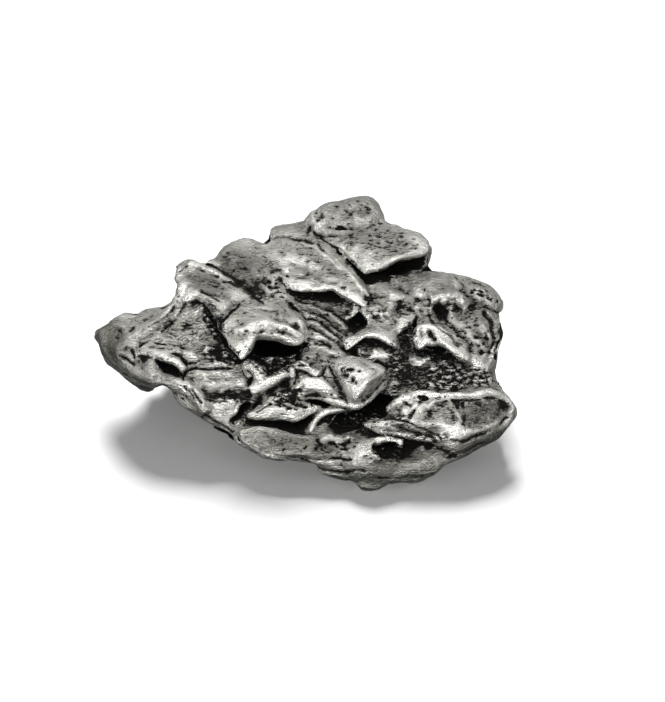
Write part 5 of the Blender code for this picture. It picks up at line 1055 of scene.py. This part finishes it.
def add_hidden_scales(shape, tree):
    """Overlapping flakes over the back and the underside, their free edges turned towards the ground."""
    for way, chance in turned_away(SCALE_COUNT, seed=11):
        size, lift = chance.uniform(*SCALE_SIZES), chance.uniform(*SCALE_LIFTS)
        loop = ragged_round(size, chance)
        uphill = SCALE_UPHILL + chance.normal(0, 0.5, 3)
        place, facing = skin_spot(tree, way)
        if facing @ NEAR < HIDDEN_LIMIT and clear_of_ground(place, facing):
            sunk = place - STEP * SCALE_SINK * size * facing
            add_scale(shape, sunk, facing, uphill, loop, SCALE_THICKNESS * size, lift, 3.5)


def hidden_folds(tree):
    """Lines in millimetres, with radii in steps, that wander over the skin of the hidden sides."""
    for way, chance in turned_away(FOLD_COUNT, seed=31):
        place, facing = skin_spot(tree, way)
        heading, turn = chance.normal(0, 1, 3), chance.normal(0, 0.5)
        radius = chance.uniform(*FOLD_RADII)
        line = []
        while len(line) < FOLD_POINTS and facing @ NEAR < HIDDEN_LIMIT:
            line.append(place - STEP * FOLD_SINK * radius * facing)
            heading = heading - (heading @ facing) * facing + turn * np.cross(facing, heading)
            heading /= np.linalg.norm(heading)
            place, facing, _, _ = tree.find_nearest(place + STEP * FOLD_STRIDE * heading)
            place, facing = np.array(place), np.array(facing)
        if len(line) > 3:
            yield smooth_run(line, closed=False, between=4), (0.6 * radius, radius, radius, 0.5 * radius)


def add_thumbprints(shape, tree):
    """Shallow uneven scoops on the hidden sides."""
    for way, chance in turned_away(SCOOP_COUNT, seed=5):
        size, depth = chance.uniform(*SCOOP_SIZES), chance.uniform(*SCOOP_DEPTHS)
        loop = ragged_round(size, chance)
        uphill = chance.normal(0, 1, 3)
        place, facing = skin_spot(tree, way)
        if facing @ NEAR < HIDDEN_LIMIT and clear_of_ground(place, facing):
            middle = place + STEP * SCOOP_RISE * depth * facing
            add_scale(shape, middle, facing, uphill, loop, SCOOP_THICKNESS * depth, 0.0, 2.0)


def rest_on_ground(mesh):
    """Flattens the heart's underside onto uneven ground."""
    places = places_of(mesh)
    level = places * (1, 1, 0)
    ground = STEP * (FLOOR_STEPS + UNDER_CLEARANCE + UNDER_UNEVENNESS * swell(level, 9.0, seed=3))
    above = (places[:, 2] - ground) / GROUND_SOFTNESS
    places[:, 2] = ground + GROUND_SOFTNESS * np.logaddexp(0, above)
    put_places(mesh, places)


def heart():
    """The heart of the stone, scaled and scooped on its hidden sides, with the face's pockets cut in."""
    shape = bmesh.new()
    for middle, radii, turn in HEART.values():
        add_lump(shape, middle, radii, turn)
    for flake in INNER_FLAKES.values():
        add_flake(shape, **flake)
    body = fuse(new_object("heart", shape), BODY_VOXEL)
    rest_on_ground(body.data)
    shape = bmesh.new()
    shape.from_mesh(body.data)
    tree = BVHTree.FromBMesh(shape)
    add_hidden_scales(shape, tree)
    shape.from_mesh(strands_mesh(hidden_folds(tree)))
    for middle, radii, turn in FEET.values():
        add_lump(shape, middle, radii, turn)
    bpy.data.objects.remove(body)
    body = fuse(new_object("heart", shape), BODY_VOXEL)
    shape = bmesh.new()
    add_thumbprints(shape, tree)
    for pocket in POCKETS.values():
        add_flake(shape, **pocket)
    return smoothed(cut_away(body, shape))


def face_strands():
    """The face's rims and ribs as lines in millimetres."""
    for points, radii in STRANDS.values():
        line = smooth_run([(x, y, slope_depth(y) + depth) for x, y, depth in points], closed=False)
        yield face_place(*line.T), radii


def along_piece(x, y, start, end):
    """How far right and down a straight piece of line runs, up to its point nearest to each place."""
    (ax, ay), (bx, by) = start, end
    dx, dy = bx - ax, by - ay
    share = np.clip(((x - ax) * dx + (y - ay) * dy) / (dx * dx + dy * dy), 0, 1)
    return share * dx, share * dy


def near_line(x, y, points):
    """Distances on the grid from places to a line through points."""
    line = smooth_run(points, closed=False, between=3)
    nearest = np.full(len(x), np.inf)
    for (ax, ay), end in zip(line, line[1:]):
        right, down = along_piece(x, y, (ax, ay), end)
        nearest = np.minimum(nearest, (x - ax - right) ** 2 + (y - ay - down) ** 2)
    return np.sqrt(nearest)


def dome(distance, reach):
    """A round bump of height 1 that fades out at its reach."""
    return np.clip(1 - (distance / reach) ** 2, 0, 1) ** 2


def ramp(values, low, high):
    share = np.clip((values - low) / (high - low), 0, 1)
    return share * share * (3 - 2 * share)


def face_relief(places, x, y):
    """Heights in steps of the creases, welts and pits drawn on the face, with unsteady lines and depths."""
    x, y = (value + LINE_WANDER * swell(places, 1.7, seed) for value, seed in ((x, 51), (y, 52)))
    unsteady = LINE_STRENGTH * (1 + 0.5 * swell(places, 2.5, seed=53))
    relief = np.zeros(len(x))
    for points, width, height in STROKES.values():
        relief += height * unsteady * dome(near_line(x, y, points), width * LINE_FADE)
    for pits in PITS.values():
        for px, py, radius, height in pits:
            relief += height * dome(np.hypot(x - px, y - py), radius * LINE_FADE)
    return np.clip(relief, -6, 5)


def layers(places, facings):
    """The worn edges of thin layers round the sides, as a patchy rise and drop repeated up the stone."""
    height = places @ LAYERS_FACE / LAYER_HEIGHT + 1.3 * swell(places, 6.0, seed=4)
    share = height % 1.0
    steps = np.where(share < 0.75, share / 0.75, (1 - share) / 0.25) * 2 - 1
    patches = np.clip(0.3 + 1.2 * swell(places, 9.0, seed=12), 0, 1)
    return steps * patches * np.clip(1.4 - 1.6 * np.abs(facings[:, 2]), 0, 1)


def neighbours(mesh):
    """The two ends of every edge, and how many edges each vertex has."""
    ends = np.empty(len(mesh.edges) * 2, dtype=np.int32)
    mesh.edges.foreach_get("vertices", ends)
    return ends.reshape(-1, 2), np.bincount(ends, minlength=len(mesh.vertices))


def averaged(values, ends, counts):
    """The mean over each vertex's neighbours, per column of the values."""
    total = [
        np.bincount(ends[:, 0], column[ends[:, 1]], len(values))
        + np.bincount(ends[:, 1], column[ends[:, 0]], len(values))
        for column in values.T
    ]
    return np.column_stack(total) / counts[:, None]


def fill_upper_creases(mesh, times):
    """Grows the creases that look uphill outwards, which melts each fold's root into the stone above it."""
    ends, counts = neighbours(mesh)
    for _ in range(times):
        places, facings = places_of(mesh), facings_of(mesh)
        rise = np.einsum("ij,ij->i", averaged(places, ends, counts) - places, facings)
        share = ramp(facings @ UP, 0.05, 0.55) * ramp(facings @ NEAR, -0.2, 0.2)
        put_places(mesh, places + (0.7 * share * np.maximum(rise, 0))[:, None] * facings)


def keep_inside_edge(mesh):
    """Draws in whatever would show past the outer edge, as the face's viewer sees it."""
    places = places_of(mesh)
    x, y, near = grid_of(places)
    edge = np.array(OUTER_EDGE, float)
    nearest, foot_x, foot_y = np.full(len(x), np.inf), x.copy(), y.copy()
    inside = np.zeros(len(x), bool)
    for (ax, ay), (bx, by) in zip(edge, np.roll(edge, -1, axis=0)):
        right, down = along_piece(x, y, (ax, ay), (bx, by))
        gap = np.hypot(x - ax - right, y - ay - down)
        closer = gap < nearest
        nearest[closer] = gap[closer]
        foot_x[closer], foot_y[closer] = (ax + right)[closer], (ay + down)[closer]
        if ay != by:
            inside ^= ((ay > y) != (by > y)) & (x < ax + (y - ay) * (bx - ax) / (by - ay))
    past = np.where(inside, -nearest, nearest)
    held = -EDGE_SOFTNESS * np.logaddexp(0, -past / EDGE_SOFTNESS)
    moved = (past > -4 * EDGE_SOFTNESS) & (nearest > 0.01)
    scale = np.where(moved, held / np.where(nearest > 0.01, past, 1), 1)
    x = np.where(moved, foot_x + scale * (x - foot_x), x)
    y = np.where(moved, foot_y + scale * (y - foot_y), y)
    put_places(mesh, face_place(x, y, near))


def weather(mesh):
    """Warps the skin a little, then raises and sinks it by its folds, creases, layers and pits."""
    places, facings = places_of(mesh), facings_of(mesh)
    x, y, _ = grid_of(places)
    shown = np.clip(facings @ NEAR / SIDE_FADE, 0, 1)
    lift = SKIN_WAVES * swell(places, 3.4, seed=1) + SKIN_RIPPLES * swell(places, 1.3, seed=2)
    lift += STEP * face_relief(places, x, y) * shown
    sides = SIDE_LAYERS * layers(places, facings) + SIDE_RIPPLES * swell(places, 2.0, seed=6)
    lift += sides * (1 - shown)
    warp = np.column_stack([swell(places, 8.0, seed) for seed in (7, 8, 9)])
    put_places(mesh, places + lift[:, None] * facings + SKIN_WARP * warp)


def drop_crumbs(shape):
    """Takes away every loose piece but the largest."""
    left = set(shape.verts)
    pieces = []
    while left:
        piece, edge_on = set(), [left.pop()]
        while edge_on:
            vert = edge_on.pop()
            piece.add(vert)
            around = {edge.other_vert(vert) for edge in vert.link_edges} & left
            left -= around
            edge_on.extend(around)
        pieces.append(piece)
    pieces.sort(key=len)
    crumbs = [vert for piece in pieces[:-1] for vert in piece]
    bmesh.ops.delete(shape, geom=crumbs, context="VERTS")


def trim_at_ground(mesh, ground):
    """Cuts off everything below the ground, leaving a flat facet under each foot."""
    shape = bmesh.new()
    shape.from_mesh(mesh)
    parts = shape.verts[:] + shape.edges[:] + shape.faces[:]
    plane = dict(plane_co=(0, 0, ground), plane_no=(0, 0, 1))
    bmesh.ops.bisect_plane(shape, geom=parts, dist=1e-5, clear_inner=True, **plane)
    open_edges = [edge for edge in shape.edges if edge.is_boundary]
    bmesh.ops.triangle_fill(shape, edges=open_edges, use_beauty=True, normal=(0, 0, -1))
    drop_crumbs(shape)
    bmesh.ops.recalc_face_normals(shape, faces=shape.faces)
    shape.to_mesh(mesh)
    shape.free()
    mesh.update()


def thin(made, triangles):
    """Brings a mesh down to about this many triangles."""
    ratio = triangles / sum(len(face.vertices) - 2 for face in made.data.polygons)
    return reshape(made, "DECIMATE", ratio=ratio, use_collapse_triangulate=True)


def rough_stone():
    """The heart with every outer flake, rim and rib grown onto it, in millimetres."""
    body = heart()
    shape = bmesh.new()
    shape.from_mesh(body.data)
    bpy.data.objects.remove(body)
    for flake in OUTER_FLAKES.values():
        add_flake(shape, **flake)
    shape.from_mesh(strands_mesh(face_strands()))
    stone = smoothed(fuse(new_object("meteorite", shape), SKIN_VOXEL))
    fill_upper_creases(stone.data, round(FILL_SPREAD / SKIN_VOXEL**2))
    keep_inside_edge(stone.data)
    return stone


def zone_share(x, y, zone):
    """1 in the middle of an oval stretch of the face, fading to 0 a little past its edge."""
    middle_x, middle_y, half_x, half_y, turn = zone
    c, s = math.cos(math.radians(turn)), math.sin(math.radians(turn))
    across = ((x - middle_x) * c + (y - middle_y) * s) / half_x
    down = ((y - middle_y) * c - (x - middle_x) * s) / half_y
    return 1 - ramp(np.hypot(across, down), 0.55, 1.15)


def amounts(x, y, zones):
    """For each stretch of the face, its amount at every place."""
    return [amount * zone_share(x, y, zone) for *zone, amount in zones.values()]


def reach_of(x, y, zones):
    """How far any of some stretches of the face reaches every place, from 0 to 1."""
    return np.max([zone_share(x, y, zone) for *zone, _ in zones.values()], axis=0)


def pitting(places, x, y):
    """Depths in steps of the ragged pits that eat into some stretches of the face."""
    holes = swell(places * STREAK, 0.4, seed=41) + 0.5 * swell(places * STREAK, 1.4, seed=42)
    depth = np.zeros(len(x))
    for *zone, deepest in PITTED.values():
        depth = np.maximum(depth, deepest * ramp(holes + 0.8 * zone_share(x, y, zone), 1.05, 1.5))
    return depth


def grains(places):
    """Heights, about -1 to 1, of small lumps with cracks between them, stretched along the streaks."""
    heights = np.empty(len(places))
    for index, place in enumerate((places * STREAK / GRAIN_SIZE).tolist()):
        (nearest, second, *_), (lump, *_) = noise.voronoi(place)
        heights[index] = min((second - nearest) / 0.35, 1) - 0.6 + 0.6 * noise.noise(lump * 5)
    return 0.6 * heights + 0.7 * swell(places * STREAK, 0.5, seed=61)


def crumble(places, x, y):
    """Heights in steps of the grains on the crumbly stretches of the face."""
    height = np.max(amounts(x, y, CRUMBLY), axis=0)
    rough = height > 0.02
    patches = np.clip(0.8 + 0.8 * swell(places[rough], 3.0, seed=62), 0.1, 1.4)
    height[rough] *= grains(places[rough]) * patches
    return height


def roughen(mesh):
    """Eats ragged pits into the skin and raises grains on it, where the face has them."""
    places, facings = places_of(mesh), facings_of(mesh)
    x, y, _ = grid_of(places)
    shown = np.clip(facings @ NEAR / SIDE_FADE, 0, 1)
    lift = STEP * (crumble(places, x, y) - pitting(places, x, y)) * shown
    put_places(mesh, places + lift[:, None] * facings)


def hollowness(mesh, times):
    """How far each vertex lies under the smoothed skin, in millimetres. Below 0 on what stands proud."""
    ends, counts = neighbours(mesh)
    places = places_of(mesh)
    spread = places
    for _ in range(times):
        spread = 0.5 * spread + 0.5 * averaged(spread, ends, counts)
    return np.einsum("ij,ij->i", spread - places, facings_of(mesh))


def sky_directions(count):
    """Directions spread over a half sphere round +Z, denser near the pole."""
    turns = np.arange(count)
    reach = np.sqrt((turns + 0.5) / count)
    angle = turns * math.pi * (3 - math.sqrt(5))
    return np.column_stack((reach * np.cos(angle), reach * np.sin(angle), np.sqrt(1 - reach**2)))


def shelter(stone):
    """Per vertex, the share of the sky that nearby parts of the stone hide."""
    coarse = stone.copy()
    coarse.data = stone.data.copy()
    bpy.context.scene.collection.objects.link(coarse)
    thin(coarse, SHELTER_TRIANGLES)
    shape = bmesh.new()
    shape.from_mesh(coarse.data)
    tree = BVHTree.FromBMesh(shape)
    shape.free()
    rays = sky_directions(SHELTER_RAYS)
    spots = kdtree.KDTree(len(coarse.data.vertices))
    hidden = np.empty(len(coarse.data.vertices))
    for index, vert in enumerate(coarse.data.vertices):
        turn = vert.normal.to_track_quat("Z", "Y").to_matrix()
        start = vert.co + vert.normal * 0.12
        around = (rays @ np.array(turn).T).tolist()
        hidden[index] = sum(tree.ray_cast(start, way, SHELTER_REACH)[0] is not None for way in around)
        spots.insert(vert.co, index)
    spots.balance()
    hidden /= SHELTER_RAYS
    found = np.empty(len(stone.data.vertices))
    for index, place in enumerate(places_of(stone.data).tolist()):
        near = spots.find_n(place, 3)
        weights = np.array([1 / (distance + 0.05) for _, _, distance in near])
        found[index] = weights @ hidden[[number for _, number, _ in near]] / weights.sum()
    bpy.data.objects.remove(coarse)
    return found


def note(mesh, name, values):
    """Keeps a value per vertex on the mesh, for its material to read."""
    layer = mesh.attributes.new(name, "FLOAT", "POINT")
    layer.data.foreach_set("value", values.astype(np.float32))


def note_wear_and_painted_light(stone):
    """Notes where the skin is rough, black with crust and painted shade, darkened or gritty, and where it
    is rubbed bright or carries painted highlights.
    """
    mesh = stone.data
    fine, middle, broad = (hollowness(mesh, times) for times in HOLLOW_ROUNDS)
    places = places_of(mesh)
    x, y, _ = grid_of(places)
    shown = np.clip(facings_of(mesh) @ NEAR / WEAR_FADE, 0, 1)
    # How much sky the stone hides from each spot: with the hollows measured above, it makes painted shade
    # in the black note, on top of the crust.
    sheltered = shelter(stone)
    black = 1.15 * ramp(sheltered, 0.35, 0.85)
    black += 0.5 * ramp(fine, 0.008, 0.05) + 0.55 * ramp(middle, 0.03, 0.18) + 0.35 * ramp(broad, 0.12, 0.6)
    crumbly = reach_of(x, y, CRUMBLY) * shown
    tall = np.max(amounts(x, y, CRUMBLY), axis=0) * shown
    black += 0.2 * crumbly
    black += np.sum(amounts(x, y, CRUST_AND_SHADE_ZONES), axis=0) * shown
    note(mesh, "rough", np.maximum(crumbly, reach_of(x, y, PITTED) * shown))
    # The most sheltered spots are painted black past the crust's limit, as shade.
    note(mesh, "black", np.clip(black, 0, CRUST_AND_SHADE_LIMIT) + 0.5 * ramp(sheltered, 0.7, 0.95))
    # The darkened stretches: on the low ones that face the ground this is painted shade.
    note(mesh, "darkened", np.max(amounts(x, y, DARKENED_STRETCHES), axis=0) * shown)
    gritty = zone_share(x, y, GRITTY) * shown
    note(mesh, "gritty", 0.25 + 0.75 * gritty)
    # Bright metal on what stands out and on the tips of grains: polish, with painted glints and highlights.
    polish_and_highlight = (0.5 + 0.3 * gritty) * ramp(-middle, 0.02, 0.12) + 0.25 * ramp(-broad, 0.05, 0.4)
    polish_and_highlight += 0.6 * tall * ramp(-fine, 0.004, 0.025)
    x, y = (value + 1.2 * swell(places, 1.4, seed) for value, seed in ((x, 71), (y, 72)))
    # Along the listed lines: polish, and painted highlight.
    for points, width in POLISH_AND_HIGHLIGHT_LINES.values():
        rubbed_and_highlit = 0.9 * dome(near_line(x, y, points), 1.7 * width) * shown * ramp(-middle, -0.06, 0.03)
        polish_and_highlight = np.maximum(polish_and_highlight, rubbed_and_highlit)
    note(mesh, "proud", np.clip(polish_and_highlight, 0, 1))


def socket(group, name, kind, default=None, output=False):
    made = group.interface.new_socket(name, in_out="OUTPUT" if output else "INPUT", socket_type=kind)
    if default is not None:
        made.default_value = default
    return made


class Nodes:
    """Short calls for adding linked nodes to a node tree."""

    def __init__(self, tree):
        self.tree = tree

    def add(self, kind, outlet=0, values=(), **settings):
        node = self.tree.nodes.new(kind)
        for name, value in settings.items():
            setattr(node, name, value)
        for name, value in dict(values).items():
            if isinstance(value, bpy.types.NodeSocket):
                self.tree.links.new(value, node.inputs[name])
            else:
                node.inputs[name].default_value = value
        return node.outputs[outlet]

    def maths(self, operation, *values):
        return self.add("ShaderNodeMath", values=enumerate(values), operation=operation)

    def total(self, start, *terms):
        """A value with more added to it: each term is a value and its weight."""
        for value, weight in terms:
            start = self.maths("MULTIPLY_ADD", value, weight, start)
        return start

    def noise(self, where, size, detail=3.0, roughness=0.5, distortion=0.0):
        values = {"Vector": where, "Scale": 1 / (size * MM), "Detail": detail, "Roughness": roughness}
        values["Distortion"] = distortion
        return self.add("ShaderNodeTexNoise", values=values)

    def fade(self, value, low, high):
        values = {"Value": value, "From Min": low, "From Max": high}
        return self.add("ShaderNodeMapRange", values=values, interpolation_type="SMOOTHSTEP")

    def blend(self, share, first, second):
        values = {0: share, 6: first, 7: second}
        return self.add("ShaderNodeMix", outlet=2, values=values, data_type="RGBA")


def streaked_grain():
    """A node group: the height of waves and grain, and masks of streaks, pits, thin lines and grit."""
    group = bpy.data.node_groups.new("streaked grain", "ShaderNodeTree")
    socket(group, "Place", "NodeSocketVector")
    socket(group, "Eaten", "NodeSocketFloat", 0.0)
    made = Nodes(group)
    place, eaten = group.nodes.new("NodeGroupInput").outputs[:2]
    stretched, curling = (
        made.add("ShaderNodeMapping", values={"Vector": place, "Rotation": STREAK_TURN, "Scale": stretch})
        for stretch in (STREAK_STRETCH, LINE_STRETCH)
    )
    waves = made.noise(place, 1.3, 2.0, 0.5, 0.6)
    grain = made.noise(stretched, 0.26, 3.0, 0.6, 0.8)
    streaks = made.noise(stretched, 0.34, 5.0, 0.68, 1.2)
    smear = made.noise(stretched, 0.24, 2.0, 0.5, 0.8)
    pits = made.fade(made.total(smear, (made.noise(place, 2.0, 2.0), 0.3), (eaten, 0.12)), 0.80, 0.88)
    levels = made.maths("MULTIPLY", made.noise(curling, 1.1, 2.0, 0.6, 0.9), 5.0)
    contours = made.maths("PINGPONG", levels, 0.5)
    lines = made.maths("MULTIPLY", made.fade(contours, 0.2, 0.05), made.fade(smear, 0.34, 0.46))
    furrows = made.maths("MULTIPLY", streaks, eaten)
    height = made.total(0.0, (waves, 0.4), (grain, 0.4), (lines, -0.2), (pits, -0.25), (furrows, 0.9))
    grit = made.maths("SUBTRACT", made.fade(made.noise(curling, 0.24, 1.5, 0.6, 1.0), 0.36, 0.62), 0.5)
    given = {"Height": height, "Streaks": streaks, "Pits": pits, "Lines": lines, "Grit": grit}
    for name in given:
        socket(group, name, "NodeSocketFloat", output=True)
    out = group.nodes.new("NodeGroupOutput")
    for name, value in given.items():
        group.links.new(value, out.inputs[name])
    return group


def polished_iron():
    """Silvery metal on what stands proud, and streaky grey going to a matt black crust in the hollows,
    which is painted shade there as well.
    """
    metal = bpy.data.materials.new("polished_iron")
    metal.use_nodes = True
    made = Nodes(metal.node_tree)
    surface = metal.node_tree.nodes["Principled BSDF"]
    where = made.add("ShaderNodeTexCoord", outlet="Object")
    black, proud, darkened, gritty, rough = (
        made.add("ShaderNodeAttribute", outlet="Fac", attribute_name=name)
        for name in ("black", "proud", "darkened", "gritty", "rough")
    )
    eaten = made.maths("MAXIMUM", rough, made.fade(black, 0.1, 0.6))
    grain = metal.node_tree.nodes.new("ShaderNodeGroup")
    grain.node_tree = streaked_grain()
    metal.node_tree.links.new(where, grain.inputs["Place"])
    metal.node_tree.links.new(eaten, grain.inputs["Eaten"])
    height, streaks, pits, lines, grit = grain.outputs
    grit = made.maths("MULTIPLY", grit, gritty)
    cloud = made.noise(where, 2.4, 3.0, 0.55)
    # The share of crust and painted shade, from the black note.
    crust_and_shade = made.total(
        -1.2, (black, 1.5), (streaks, 2.6), (pits, 0.35), (lines, made.total(0.3, (gritty, 0.25))),
        (grit, made.total(0.3, (eaten, 0.7))), (cloud, 0.4), (proud, -0.75),
    )
    crust_and_shade = made.fade(crust_and_shade, 0.34, 1.0)
    # Bright on what stands proud, which is both polish and painted highlight; dark on the darkened
    # stretches.
    bright = made.blend(darkened, made.blend(proud, METAL_DULL, METAL_BRIGHT), METAL_DARK)
    warm = made.maths("MULTIPLY", made.fade(cloud, 0.4, 0.7), made.total(0.4, (proud, -0.4)))
    bright = made.blend(warm, bright, METAL_WARM)
    brushed = made.maths("MULTIPLY", made.fade(streaks, 0.62, 0.36), made.total(0.38, (proud, -0.3)))
    bright = made.blend(brushed, bright, METAL_DARK)
    crust_and_shade_colour = made.blend(made.fade(streaks, 0.4, 0.62), CRUST_AND_SHADE_BLACK, CRUST_AND_SHADE_BROWN)
    metal.node_tree.links.new(made.blend(crust_and_shade, bright, crust_and_shade_colour), surface.inputs["Base Color"])
    metal.node_tree.links.new(made.maths("SUBTRACT", 1.0, crust_and_shade), surface.inputs["Metallic"])
    matt = made.total(0.33, (proud, -0.18), (cloud, 0.2), (crust_and_shade, 0.35))
    metal.node_tree.links.new(matt, surface.inputs["Roughness"])
    surface.inputs["Specular IOR Level"].default_value = 0.2
    bump = made.add("ShaderNodeBump", values={
        "Strength": made.total(0.8, (proud, -0.4)), "Distance": 0.8 * MM,
        "Height": made.total(height, (grit, -0.07)),
    })
    metal.node_tree.links.new(bump, surface.inputs["Normal"])
    return metal


def make_stone():
    stone = rough_stone()
    weather(stone.data)
    roughen(stone.data)
    thin(stone, SKIN_TRIANGLES)
    trim_at_ground(stone.data, FLOOR_STEPS * STEP)
    note_wear_and_painted_light(stone)
    stone.name = "meteorite_skin"
    shift = place_on_frame(stone.data)
    stone.data.shade_smooth()
    stone.data.materials.append(polished_iron())
    return stone, shift


def place_on_frame(mesh):
    """Moves the skin, in millimetres, to the frame's place in metres. Returns the move in millimetres."""
    low, high = (np.array(corner) / MM for corner in cad_box)
    places = places_of(mesh)
    own_low, own_high = places.min(axis=0), places.max(axis=0)
    shift = (low + high) / 2 - (own_low + own_high) / 2
    shift[2] = low[2] - own_low[2]
    put_places(mesh, (places + shift) * MM)
    return shift


def make_floor():
    shape = bmesh.new()
    bmesh.ops.create_grid(shape, x_segments=1, y_segments=1, size=FLOOR_REACH)
    floor = new_object("floor", shape)
    pale = bpy.data.materials.new("floor")
    pale.use_nodes = True
    surface = pale.node_tree.nodes["Principled BSDF"]
    surface.inputs["Base Color"].default_value = FLOOR_PALE
    surface.inputs["Roughness"].default_value = 0.9
    surface.inputs["Specular IOR Level"].default_value = 0.0
    surface.inputs["Emission Color"].default_value = WHITE
    surface.inputs["Emission Strength"].default_value = FLOOR_GLOW
    floor.data.materials.append(pale)
    floor.visible_glossy = False


def spot(made, way, direction, outer, inner, level):
    """Light from round a direction: full within the inner angle and none past the outer one, in degrees."""
    aim = Vector(direction).normalized()
    values = {0: way, 1: aim}
    nearness = made.add("ShaderNodeVectorMath", outlet="Value", operation="DOT_PRODUCT", values=values)
    share = made.fade(nearness, math.cos(math.radians(outer)), math.cos(math.radians(inner)))
    return made.maths("MULTIPLY", share, level)


def light_studio():
    """A white surround for the camera, soft boxes for reflections, and a sun for the floor's shadow."""
    world = bpy.data.worlds.new("studio")
    bpy.context.scene.world = world
    world.use_nodes = True
    tree = world.node_tree
    made = Nodes(tree)
    way = made.add("ShaderNodeTexCoord", outlet="Generated")
    seen = made.total(DIMMEST, *((spot(made, way, *light), 1.0) for light in SOFT_BOXES.values()))
    path = tree.nodes.new("ShaderNodeLightPath").outputs
    level = made.total(
        path["Is Camera Ray"], (seen, path["Is Glossy Ray"]), (path["Is Diffuse Ray"], FLOOR_FILL),
    )
    tree.links.new(level, tree.nodes["Background"].inputs["Strength"])
    tree.nodes["Background"].inputs["Color"].default_value = WHITE
    sun = bpy.data.lights.new("overhead", "SUN")
    sun.energy = SUN_STRENGTH
    sun.angle = SUN_WIDTH
    lamp = put_in_scene("overhead", sun)
    lamp.rotation_euler = SUN_TURN
    lamp.visible_glossy = False


def set_camera(shift):
    """A long lens at the photograph's angle, aimed so that the grid lies on the picture pixel for pixel."""
    lens = bpy.data.cameras.new("camera")
    camera = put_in_scene("camera", lens)
    bpy.context.scene.camera = camera
    lens.lens = LENS
    distance = IMAGE_SIZE[1] * STEP * MM * lens.lens / lens.sensor_width
    aim = (face_place(*IMAGE_MIDDLE, 0) + shift) * MM
    camera.location = aim + NEAR * distance
    camera.rotation_mode = "QUATERNION"
    camera.rotation_quaternion = Vector(-NEAR).to_track_quat("-Z", "Y")
    lens.clip_end = 10


def main():
    stone, shift = make_stone()
    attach(stone, "root")
    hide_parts("meteorite")
    make_floor()
    light_studio()
    set_camera(shift)
    bpy.context.scene.view_settings.view_transform = "Standard"


main()
